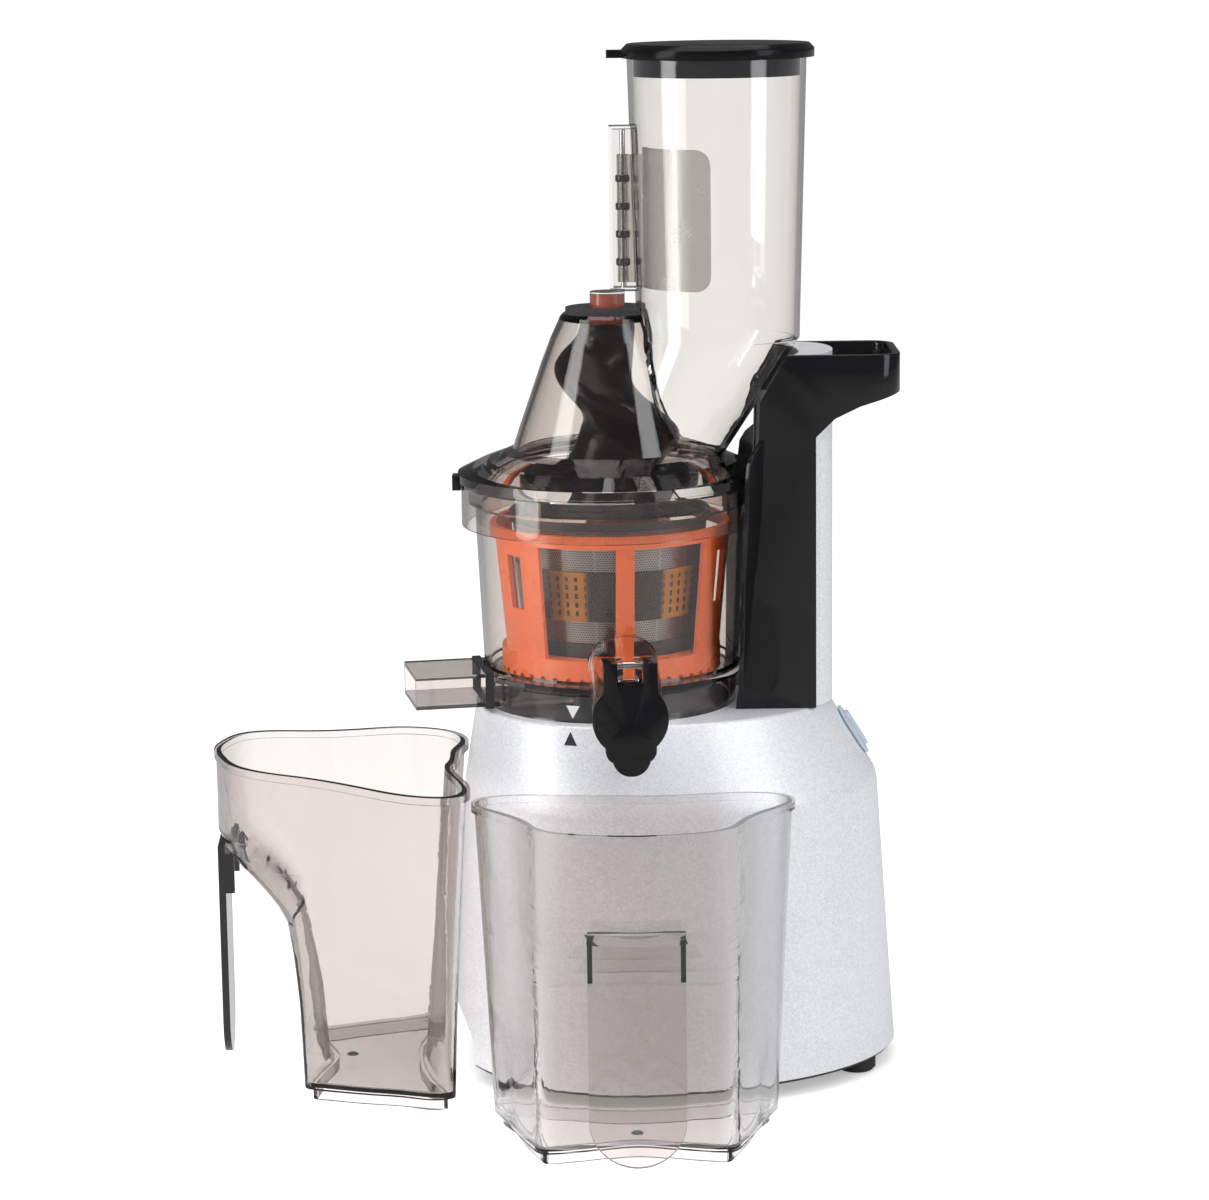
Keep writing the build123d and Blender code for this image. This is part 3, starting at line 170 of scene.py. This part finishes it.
# ---------------------------------------------------------------- materials
def moulded(name, colour, roughness, vary=0.08, grain=900.0, bump=0.04, coat=0.0,
            subsurface=0.0, specular=0.5):
    """Moulded plastic: slight tone drift, handling marks in the gloss, a fine surface grain."""
    t = Tree(name)
    drift = t.spread(t.noise(14.0, 4.0, 0.55), 0.3, 0.7, 0.0, 1.0)
    t.base(t.mix(drift, scaled(colour, 1 - vary), scaled(colour, 1 + vary)))
    marks = t.noise(60.0, 6.0, 0.65)
    t.set(roughness=t.spread(marks, 0.3, 0.75, roughness * 0.8, roughness * 1.25))
    t.set(coat=coat, coat_roughness=0.06, subsurface=subsurface, specular=specular)
    t.bump(t.noise(grain, 2.0, 0.6), bump, 0.0003)
    return t.material


def metal(name, colour, roughness, stretch=(1.0, 1.0, 40.0), bump=0.05):
    """Metal with fine drawn or turned lines and slight staining."""
    t = Tree(name)
    lines = t.noise(220.0, 4.0, 0.6, stretch)
    stain = t.noise(18.0, 4.0, 0.6)
    t.base(t.mix(t.spread(stain, 0.35, 0.7, 0.0, 1.0), colour, scaled(colour, 0.8)))
    t.set(metallic=1.0, roughness=t.spread(lines, 0.3, 0.7, roughness * 0.75, roughness * 1.3))
    t.bump(lines, bump, 0.0002)
    return t.material


def clear(name, through, rim=0.72, roughness=0.006, ior=1.49, side_reflection=None):
    """Tinted clear plastic, one tint for each wall that light passes.

    through is the tint of a wall seen square on, rim how much darker it goes where it turns away,
    and the last argument a painted reflection: the lighter tint that the front jug turns to away from its
    middle.
    """
    t = Tree(name)
    weight = t.add("ShaderNodeLayerWeight")
    weight.inputs["Blend"].default_value = 0.35
    drift = t.noise(9.0, 3.0, 0.5)
    face = t.mix(t.spread(drift, 0.3, 0.7, 0.0, 1.0), through, scaled(through, 0.975))
    # painted reflection: the front jug goes lighter away from its middle, for the white its sides reflect
    if side_reflection:
        off_middle = t.math("SUBTRACT", t.split_coords()[0], AXIS_X + JUICE_JUG_X * MM)
        off_middle = t.math("ABSOLUTE", off_middle)
        face = t.mix(t.spread(off_middle, *SIDE_REFLECTION_SPAN, 0.0, 1.0), face, side_reflection)
    t.base(t.mix(weight.outputs["Facing"], face, scaled(through, rim)))
    marks = t.noise(45.0, 5.0, 0.6)
    t.set(transmission=1.0, ior=ior)
    t.set(roughness=t.spread(marks, 0.35, 0.7, roughness * 0.6, roughness * 1.6))
    t.bump(t.noise(26.0, 2.0, 0.4), 0.012, 0.0006)
    return t.material


def silver_paint():
    """Silver-white paint with fine metallic flakes under a clear coat."""
    t = Tree("silver_paint")
    cells = t.add("ShaderNodeTexVoronoi")
    cells.inputs["Scale"].default_value = 1500.0
    t.link(t.coords(), cells.inputs["Vector"])
    flake = t.add("ShaderNodeSeparateColor")
    t.link(cells.outputs["Color"], flake.inputs[0])
    brightness, gloss, height = flake.outputs
    flakes = t.mix(brightness, (0.66, 0.67, 0.70), (0.86, 0.87, 0.90))
    drift = t.noise(7.0, 3.0, 0.5)
    t.base(t.mix(t.spread(drift, 0.35, 0.65, 0.0, 0.35), flakes, (0.80, 0.81, 0.85)))
    t.set(metallic=0.2, roughness=t.spread(gloss, 0.0, 1.0, 0.30, 0.52))
    t.set(coat=0.35, coat_roughness=0.12)
    t.bump(height, 0.06, 0.0001)
    return t.material


def around(t):
    """Angle about the bowl axis (0 to 1) and height in metres, as sockets."""
    point_x, point_y, height = t.split_coords()
    angle = t.math("ARCTAN2", t.math("SUBTRACT", point_y, AXIS_Y), t.math("SUBTRACT", point_x, AXIS_X))
    return t.math("ADD", t.math("DIVIDE", angle, 2 * math.pi), 0.5), height


def cell_mask(t, turn, height, count, pitch, fill_turn, fill_height, stagger):
    """1 inside each hole of a grid that runs round the bowl axis."""
    row = t.math("DIVIDE", height, pitch)
    shift = t.math("MULTIPLY", t.math("MODULO", t.math("FLOOR", row), 2.0), stagger)
    column = t.math("ADD", t.math("MULTIPLY", turn, count), shift)
    powers = []
    for place, fill in ((column, fill_turn), (row, fill_height)):
        off = t.math("ABSOLUTE", t.math("SUBTRACT", t.math("FRACT", place), 0.5))
        powers.append(t.math("POWER", t.math("DIVIDE", off, fill / 2), 4.0))
    return t.math("LESS_THAN", t.math("ADD", *powers), 1.0)


def perforated_steel():
    """Stainless sheet with a fine grid of etched holes between plain upright bars."""
    t = Tree("perforated_steel")
    turn, height = around(t)
    holes = cell_mask(t, turn, height, count=220.0, pitch=0.0011,
                      fill_turn=0.55, fill_height=0.55, stagger=0.5)
    bars = t.math("LESS_THAN", t.math("FRACT", t.math("MULTIPLY", turn, 18.0)), 0.07)
    hole = t.math("MULTIPLY", holes, t.math("SUBTRACT", 1.0, bars))
    stain = t.noise(40.0, 4.0, 0.6)
    steel = t.mix(t.spread(stain, 0.3, 0.7, 0.0, 1.0), (0.50, 0.48, 0.46), (0.38, 0.36, 0.34))
    t.base(t.mix(hole, steel, (0.035, 0.03, 0.028)))
    t.set(metallic=t.math("SUBTRACT", 1.0, t.math("MULTIPLY", hole, 0.8)))
    t.set(roughness=t.spread(stain, 0.3, 0.7, 0.26, 0.4))
    t.bump(t.math("SUBTRACT", 1.0, hole), 0.25, 0.0002)
    return t.material


def amber_band():
    """Dark brown ring with five clear amber patches, each with rows of dark slots."""
    patches, first_patch = 5.0, 0.625
    slot_low, slot_high = 0.2275, 0.2465
    t = Tree("amber_band")
    turn, height = around(t)
    slots = cell_mask(t, turn, height, count=60.0, pitch=0.0042,
                      fill_turn=0.34, fill_height=0.62, stagger=0.0)
    within_patch = t.math("FRACT", t.math("ADD", t.math("MULTIPLY", turn, patches), first_patch))
    from_middle = t.math("ABSOLUTE", t.math("SUBTRACT", within_patch, 0.5))
    patch = t.spread(from_middle, 0.15, 0.19, 1.0, 0.0)
    above = t.math("GREATER_THAN", height, slot_low)
    below = t.math("LESS_THAN", height, slot_high)
    slot = t.math("MULTIPLY", slots, t.math("MULTIPLY", above, below))
    cloud = t.noise(30.0, 4.0, 0.6)
    amber = t.mix(t.spread(cloud, 0.3, 0.7, 0.0, 1.0), (0.32, 0.11, 0.008), (0.50, 0.20, 0.02))
    ring = t.mix(patch, (0.022, 0.010, 0.005), amber)
    t.base(t.mix(t.math("MULTIPLY", slot, patch), ring, (0.02, 0.009, 0.004)))
    t.set(roughness=0.16, coat=0.5, coat_roughness=0.08)
    t.bump(t.math("SUBTRACT", 1.0, slot), 0.3, 0.0004)
    return t.material


def rubber(name, colour):
    """Matt rubber with a fine speckle."""
    t = Tree(name)
    speck = t.noise(1200.0, 2.0, 0.7)
    t.base(t.mix(t.spread(speck, 0.3, 0.7, 0.0, 1.0), colour, scaled(colour, 1.5)))
    t.set(roughness=t.spread(t.noise(80.0, 3.0), 0.3, 0.7, 0.55, 0.75))
    t.bump(speck, 0.12, 0.0002)
    return t.material


BLACK = (0.006, 0.006, 0.007)
look = {
    "silver_paint": silver_paint(),
    "black_gloss": moulded("black_gloss", BLACK, 0.16, vary=0.3, bump=0.02, coat=0.1, specular=0.3),
    "black_screw": moulded("black_screw", (0.008, 0.007, 0.007), 0.2, vary=0.3, bump=0.03, specular=0.28),
    "black_cap": moulded("black_cap", BLACK, 0.2, vary=0.3, bump=0.02, specular=0.14),
    "black_plain": moulded("black_plain", (0.022, 0.022, 0.023), 0.42, bump=0.1),
    "smoky_clear": clear("smoky_clear", (0.89, 0.84, 0.815), rim=0.66),
    "smoky_lid": clear("smoky_lid", (0.87, 0.82, 0.78), rim=0.5),
    # painted dark reflection for the lid's shoulder
    "lid_shoulder_painted_reflection": clear("lid_shoulder_painted_reflection", (0.42, 0.39, 0.38), rim=0.5),
    "smoky_tube": clear("smoky_tube", (0.95, 0.935, 0.915), rim=0.8),
    "smoky_jug": clear("smoky_jug", (0.84, 0.79, 0.765), rim=0.55),
    # the front jug carries a painted reflection: near white away from its middle
    "smoky_front_jug": clear("smoky_front_jug", (0.865, 0.825, 0.81), rim=0.6, side_reflection=(0.995, 0.99, 0.99)),
    "smoky_flap": clear("smoky_flap", (0.50, 0.485, 0.45), roughness=0.2),
    "orange": moulded("orange", (0.83, 0.155, 0.035), 0.3, vary=0.07, bump=0.03, coat=0.2, subsurface=0.05),
    "amber": amber_band(),
    "mesh": perforated_steel(),
    "steel": metal("ground_steel", (0.66, 0.66, 0.67), 0.22),
    "screw_steel": metal("plated_steel", (0.55, 0.55, 0.57), 0.3, (1.0, 1.0, 1.0)),
    "bronze": metal("bronze", (0.50, 0.36, 0.15), 0.3),
    "zinc": metal("zinc", (0.45, 0.46, 0.48), 0.35, (1.0, 1.0, 20.0)),
    "lamination": metal("lamination", (0.22, 0.17, 0.13), 0.5, (1.0, 1.0, 60.0), bump=0.2),
    "rubber_black": rubber("rubber_black", (0.012, 0.012, 0.012)),
    "silicone_dark": rubber("silicone_dark", (0.02, 0.02, 0.022)),
    "silicone_clear": clear("silicone_clear", (0.9, 0.6, 0.45), roughness=0.3, ior=1.41),
    "silicone_red": rubber("silicone_red", (0.26, 0.055, 0.03)),
    "nylon": moulded("nylon", (0.80, 0.79, 0.73), 0.45, subsurface=0.1),
    "acetal": moulded("acetal", (0.72, 0.25, 0.08), 0.4),
    "board": moulded("board", (0.02, 0.16, 0.06), 0.35, grain=300.0),
    "switch": moulded("switch", (0.52, 0.60, 0.68), 0.25, bump=0.03, coat=0.3),
    "case": moulded("case", (0.10, 0.10, 0.105), 0.5, bump=0.12),
    # also painted shade on the jugs' ribs, tongue roots and tongue outlines
    "dark_edge": moulded("dark_edge", (0.02, 0.017, 0.017), 0.2, vary=0.3, bump=0.02),
    # painted shade for the outline of the front jug's handle tongue
    "tongue_outline_painted_shade": clear("tongue_outline_painted_shade", (0.30, 0.27, 0.26), rim=0.3),
    "ink_black": moulded("ink_black", (0.01, 0.01, 0.011), 0.5, vary=0.3),
    "ink_white": moulded("ink_white", (0.80, 0.80, 0.79), 0.5),
}
finish_of = {
    "silver_paint": ["base_housing", "column_core"],
    "black_gloss": ["column_face", "handle_band", "drip_stop", "lid_tab", "bowl_seat"],
    "black_cap": ["chute_cap"],
    "black_screw": ["screw"],
    "black_plain": ["bottom_plate", "cord_gland", "strainer_base", "strainer_top_ring", "cooling_fan",
                    "board_rails"],
    "smoky_clear": ["bowl", "juice_spout", "pulp_spout"],
    "smoky_lid": ["lid"],
    "smoky_tube": ["feed_tube"],
    "smoky_jug": ["pulp_jug"],
    "smoky_front_jug": ["juice_jug"],
    "smoky_flap": ["feed_gate"],
    "orange": ["brush_frame"],
    "amber": ["strainer_band"],
    "mesh": ["strainer_mesh"],
    "steel": ["drip_stop_pin", "idler_pin", "gate_pin", "drive_shaft", "layshaft", "motor_shaft"],
    "screw_steel": ["base_screws", "handle_screws", "case_screws", "layshaft_pinion", "motor_screws"],
    "bronze": ["upper_bearing", "lower_bearing", "motor_pinion"],
    "zinc": ["motor_can"],
    "lamination": ["stator", "rotor"],
    "rubber_black": ["feet"],
    "silicone_dark": ["bowl_shaft_seal", "pulp_spout_seal", "dome_gasket", "deck_seal"],
    "silicone_clear": ["wiper_blades"],
    "silicone_red": ["screw_top_bush"],
    "nylon": ["screw_gear", "output_gear", "layshaft_gear"],
    "acetal": ["idler_gear"],
    "board": ["control_board"],
    "switch": ["switch_body", "switch_rocker"],
    "case": ["gear_case", "gear_case_cover"],
}
SEE_THROUGH = ("smoky_clear", "smoky_lid", "smoky_tube", "smoky_jug", "smoky_front_jug", "smoky_flap",
               "silicone_clear")

for finish, names in finish_of.items():
    for name in names:
        mesh = nodes[name].data
        mesh.materials.clear()
        mesh.materials.append(look[finish])
        nodes[name].visible_shadow = finish not in SEE_THROUGH      # lamps shine through clear plastic
for node in nodes.values():
    node.data.shade_smooth()
    node.data.set_sharp_from_angle(angle=math.radians(32))


def bevel_edges(obj, width, angle):
    """Rounds the edges sharper than angle (degrees) to width (mm)."""
    bevel = obj.modifiers.new("soft edge", "BEVEL")
    bevel.width = width * MM
    bevel.segments = 2
    bevel.limit_method = "ANGLE"
    bevel.angle_limit = math.radians(angle)
    return bevel


# softened edges on the gloss parts, in mm
EDGE_OF = {"handle_band": 0.5, "drip_stop": 0.9, "chute_cap": 0.5, "switch_rocker": 0.5, "lid_tab": 0.4}
WELD_REACH = 0.02
for name, width in EDGE_OF.items():
    weld = nodes[name].modifiers.new("weld", "WELD")
    weld.merge_threshold = WELD_REACH * MM
    bevel_edges(nodes[name], width, 40).harden_normals = True


# painted dark reflection: the lid's low shoulder gets a darker clear finish for the dark reflection it shows
SHOULDER_Z = (291.3, 303.5)
SHOULDER_INNER = 46.0
lid = nodes["lid"]
lid.data.materials.append(look["lid_shoulder_painted_reflection"])
for face in lid.data.polygons:
    place = lid.matrix_world @ face.center
    out = math.hypot(place.x - AXIS_X, place.y - AXIS_Y) / MM
    if within(place.z / MM, SHOULDER_Z) and out > SHOULDER_INNER:
        face.material_index = 1


# painted shade: the ribs and the root of each jug's handle tongue, and its outline, get dark finishes in
# place of the clear plastic for the dark look they have.
# Spans in mm in the jug's own frame: x from its back wall to its nose, y across, z up.
RIB_X, RIB_Y, RIB_Z = (108.0, 115.6), (19.0, 21.8), (97.2, 116.3)
ROOT_FROM_X, ROOT_Z = 114.0, (118.0, 120.3)
TONGUE_X, TONGUE_HALF, TONGUE_TOP = (112.0, 119.0), 22.0, 119.0
PAINTED_DARK_SLOT, PAINTED_OUTLINE_SLOT = 1, 2
for name, turn, start in JUGS:
    jug = nodes[name]
    unturn = Matrix.Rotation(-math.radians(turn), 4, "Z")
    jug_frame = unturn @ Matrix.Translation(-at(*start, 0)) @ jug.matrix_world
    jug.data.materials.append(look["dark_edge"])
    jug.data.materials.append(look["tongue_outline_painted_shade"])
    for face in jug.data.polygons:
        place = jug_frame @ face.center / MM
        normal = (jug_frame.to_3x3() @ face.normal).normalized()
        across = abs(place.y)
        rib = within(place.z, RIB_Z) and within(across, RIB_Y) and within(place.x, RIB_X)
        root = within(place.z, ROOT_Z) and place.x > ROOT_FROM_X and across < RIB_Y[1] and normal.z > 0.8
        side_on = abs(normal.x) < 0.2
        outline = within(place.x, TONGUE_X) and side_on and across < TONGUE_HALF and place.z < TONGUE_TOP
        if rib or root:
            face.material_index = PAINTED_DARK_SLOT
        elif outline:
            face.material_index = PAINTED_DARK_SLOT if name == "pulp_jug" else PAINTED_OUTLINE_SLOT


# ---------------------------------------------------------------- small pieces
def finish_piece(bm, name, material, body, sharp=None):
    """Turns a closed bmesh into a piece. With sharp (degrees) it is smooth up to that angle."""
    bmesh.ops.recalc_face_normals(bm, faces=bm.faces)
    for face in bm.faces:
        face.smooth = sharp is not None
    mesh = bpy.data.meshes.new(name)
    bm.to_mesh(mesh)
    bm.free()
    if sharp is not None:
        mesh.set_sharp_from_angle(angle=math.radians(sharp))
    mesh.materials.append(material)
    obj = bpy.data.objects.new(name, mesh)
    bpy.context.collection.objects.link(obj)
    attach(obj, body)
    return obj


def join_rings(bm, low, high):
    """Faces between two rings with as many vertices."""
    for k in range(len(low)):
        j = (k + 1) % len(low)
        bm.faces.new((low[k], low[j], high[j], high[k]))


def stack_rings(bm, rings):
    """Closed skin over a stack of rings, capped at both ends."""
    for low, high in zip(rings, rings[1:]):
        join_rings(bm, low, high)
    bm.faces.new(rings[0][::-1])
    bm.faces.new(rings[-1])


def circle(bm, centre, radius, rise, sides=28):
    """Ring of vertices about an upright axis, radius and rise in mm from centre."""
    ring = []
    for k in range(sides):
        a = 2 * math.pi * k / sides
        ring.append(bm.verts.new(centre + Vector((radius * math.cos(a), radius * math.sin(a), rise)) * MM))
    return ring


# printed triangles that line up the bowl and the base: corners are (x, z) in mm, seen from the front
MARK_LIFT = 0.00018


def land(name, x, z):
    """Point where a line along +Y at the given x and z (mm) meets a node, with its normal."""
    obj = nodes[name]
    into = obj.matrix_world.inverted()
    heading = (into.to_3x3() @ Vector((0, 1, 0))).normalized()
    hit, spot, normal, _ = obj.ray_cast(into @ at(x, -400.0, z), heading)
    assert hit, name
    return obj.matrix_world @ spot, (obj.matrix_world.to_3x3() @ normal).normalized()


def triangle(name, node, body, material, corners):
    """Thin printed triangle on the front of a node."""
    landed = [land(node, x, z) for x, z in corners]
    lift = sum((normal for _, normal in landed), Vector()).normalized() * MARK_LIFT
    bm = bmesh.new()
    low = [bm.verts.new(spot + lift * 0.3) for spot, _ in landed]
    high = [bm.verts.new(spot + lift * 1.3) for spot, _ in landed]
    stack_rings(bm, (low, high))
    finish_piece(bm, name, material, body)


triangle("deck_triangle", "base_housing", "base", look["ink_black"],
         ((-22.8, 170.6), (-16.8, 170.6), (-19.8, 176.5)))
triangle("bowl_triangle", "bowl", "bowl_body", look["ink_white"],
         ((-18.6, 181.4), (-15.4, 187.6), (-21.6, 187.6)))


# dark collars on the barrel of the feed gate's hinge
COLLAR_COUNT, COLLAR_FIRST_Z, COLLAR_PITCH = 4, 391.5, 13.2
COLLAR_SECTION = ((2.85, -1.6), (3.3, -1.6), (3.55, -1.2), (3.55, 1.2), (3.3, 1.6), (2.85, 1.6))
for number in range(COLLAR_COUNT):
    centre = Vector((*box_middle("gate_pin"), (COLLAR_FIRST_Z + COLLAR_PITCH * number) * MM))
    bm = bmesh.new()
    rings = [circle(bm, centre, radius, rise) for radius, rise in COLLAR_SECTION]
    for low, high in zip(rings, rings[1:] + rings[:1]):
        join_rings(bm, low, high)
    finish_piece(bm, "gate_collar_%d" % number, look["dark_edge"], "gate", sharp=35)


# thin wings of the column's black front, which curl round the bowl: (height, inner radius, half width) in mm
WING = ((179.6, 66.9, 27.6), (183, 67.2, 28.8), (212, 70.2, 34.1), (242, 73.0, 38.8), (271, 75.8, 41.8),
        (292, 76.7, 43.0), (299, 76.9, 42.2), (304, 77.1, 38.5), (308, 77.2, 32.0), (311, 77.3, 25.0))
WING_WALL = 2.2
WING_ROOT = 18.0        # half width where the wing starts, inside the panel
WING_STEPS = 8
for side, label in ((-1, "front"), (1, "rear")):
    bm = bmesh.new()
    rings = []
    for height, radius, half in WING:
        root = math.asin(WING_ROOT / radius)
        tip = math.asin(half / radius)
        angles = [root + (tip - root) * k / WING_STEPS for k in range(WING_STEPS + 1)]
        section = [(radius, a) for a in angles] + [(radius + WING_WALL, a) for a in reversed(angles)]
        rings.append([bm.verts.new(at(r * math.cos(a), side * r * math.sin(a), height)) for r, a in section])
    stack_rings(bm, rings)
    wing = finish_piece(bm, "column_wing_" + label, look["black_gloss"], "base", sharp=50)
    bevel_edges(wing, 0.5, 50)


# dark moulding mark on the floor of each jug, as a shallow dome
DIMPLE = ((0.2, 0.0), (3.0, 0.0), (2.9, 0.35), (2.3, 0.75), (1.2, 1.0), (0.2, 1.08))
DIMPLE_REACH = 57.0     # from the jug's back wall
DIMPLE_Z = 8.65
for name, turn, start in JUGS:
    heading = Vector((math.cos(math.radians(turn)), math.sin(math.radians(turn)), 0))
    centre = at(*start, DIMPLE_Z) + heading * DIMPLE_REACH * MM
    bm = bmesh.new()
    stack_rings(bm, [circle(bm, centre, radius, rise) for radius, rise in DIMPLE])
    finish_piece(bm, name + "_mark", look["dark_edge"], name + "_body", sharp=50)


# ---------------------------------------------------------------- floor and backdrop
def by_path(tree, straight, scattered, mirrored):
    """Strength seen straight or through clear walls, by diffuse light, and in a reflection."""
    rays = tree.nodes.new("ShaderNodeLightPath")
    value = None
    for depth, strength in (("Glossy Depth", mirrored), ("Diffuse Depth", scattered)):
        test = tree.nodes.new("ShaderNodeMath")
        test.operation = "GREATER_THAN"
        tree.links.new(rays.outputs[depth], test.inputs[0])
        test.inputs[1].default_value = 0.5
        pick = tree.nodes.new("ShaderNodeMix")
        tree.links.new(test.outputs[0], pick.inputs["Factor"])
        pick.inputs["B"].default_value = strength
        if value is None:
            pick.inputs["A"].default_value = straight
        else:
            tree.links.new(value, pick.inputs["A"])
        value = pick.outputs["Result"]
    return value


def floor_material():
    """Pale floor that glows like the backdrop, with a painted contact shadow that darkens it a little under
    the feet and jugs.
    """
    t = Tree("floor")
    t.base(t.mix(t.spread(t.noise(2.0), 0.3, 0.7, 0.0, 1.0), (0.50, 0.50, 0.50), (0.52, 0.52, 0.52)))
    t.set(roughness=0.7, specular=0.1)
    t.shader.inputs["Emission Color"].default_value = (1.0, 1.0, 1.0, 1.0)
    # painted contact shadow: ambient occlusion darkens the floor's glow under the feet and jugs
    painted_contact_shadow = t.add("ShaderNodeAmbientOcclusion", samples=8)
    painted_contact_shadow.inputs["Distance"].default_value = 0.06
    shade = t.spread(painted_contact_shadow.outputs["AO"], 0.0, 1.0, 0.45, 1.0)
    glow = by_path(t.material.node_tree, straight=0.80, scattered=0.30, mirrored=0.10)
    t.link(t.math("MULTIPLY", glow, shade), t.shader.inputs["Emission Strength"])
    return t.material


FLOOR_HALF = 30.0
FLOOR_DROP = 0.0004
floor_mesh = bpy.data.meshes.new("floor")
floor_corners = [(x * FLOOR_HALF, y * FLOOR_HALF, 0) for x, y in ((-1, -1), (1, -1), (1, 1), (-1, 1))]
floor_mesh.from_pydata(floor_corners, [], [(0, 1, 2, 3)])
floor_mesh.materials.append(floor_material())
floor = bpy.data.objects.new("floor", floor_mesh)
floor.location.z = -FLOOR_DROP
bpy.context.collection.objects.link(floor)

# white backdrop, with a dimmer room in the reflections so that the gloss reads
world = bpy.data.worlds.new("studio")
world.use_nodes = True
sky = world.node_tree.nodes["Background"]
sky.inputs["Color"].default_value = (1.0, 1.0, 1.0, 1.0)
backdrop = by_path(world.node_tree, straight=1.05, scattered=0.50, mirrored=0.12)
world.node_tree.links.new(backdrop, sky.inputs["Strength"])
bpy.context.scene.world = world
bpy.context.scene.view_settings.view_transform = "Standard"


# ---------------------------------------------------------------- light and camera
AIM = at(20, -20, 240)


def softbox(name, where, width, height, power, colour=(1.0, 1.0, 1.0)):
    """Rectangular lamp, sizes in metres, turned to the middle of the machine."""
    light = bpy.data.lights.new(name, "AREA")
    light.shape = "RECTANGLE"
    light.size = width
    light.size_y = height
    light.energy = power
    light.color = colour
    lamp = bpy.data.objects.new(name, light)
    lamp.location = where
    lamp.rotation_euler = (AIM - where).to_track_quat("-Z", "Y").to_euler()
    bpy.context.collection.objects.link(lamp)


softbox("key_right", at(1000, -700, 800), 0.5, 1.3, 7.0, (0.93, 0.96, 1.0))
softbox("key_left", at(-1100, -500, 650), 0.5, 1.3, 9.0)
softbox("top", at(0, 0, 1600), 1.4, 1.0, 11.5)

# camera: a plain perspective view with the photograph's lens, place and tilt
PHOTO_WIDTH = 1209.0    # pixels
PHOTO_FOCAL = 3563.0    # pixels
CAMERA_AT = at(-3.03, -1700.0, 549.8)
CAMERA_DOWN, CAMERA_ROLL = 10.741, -0.693       # degrees

camera_data = bpy.data.cameras.new("camera")
camera_data.sensor_width = 36.0
camera_data.sensor_fit = "HORIZONTAL"
camera_data.lens = PHOTO_FOCAL / PHOTO_WIDTH * camera_data.sensor_width
camera_data.clip_end = 50.0
camera = bpy.data.objects.new("camera", camera_data)
camera.location = CAMERA_AT
tilt = Matrix.Rotation(math.radians(90.0 - CAMERA_DOWN), 4, "X")
roll = Matrix.Rotation(math.radians(CAMERA_ROLL), 4, "Z")
camera.rotation_euler = (tilt @ roll).to_euler()
bpy.context.collection.objects.link(camera)
bpy.context.scene.camera = camera

bpy.context.view_layer.update()
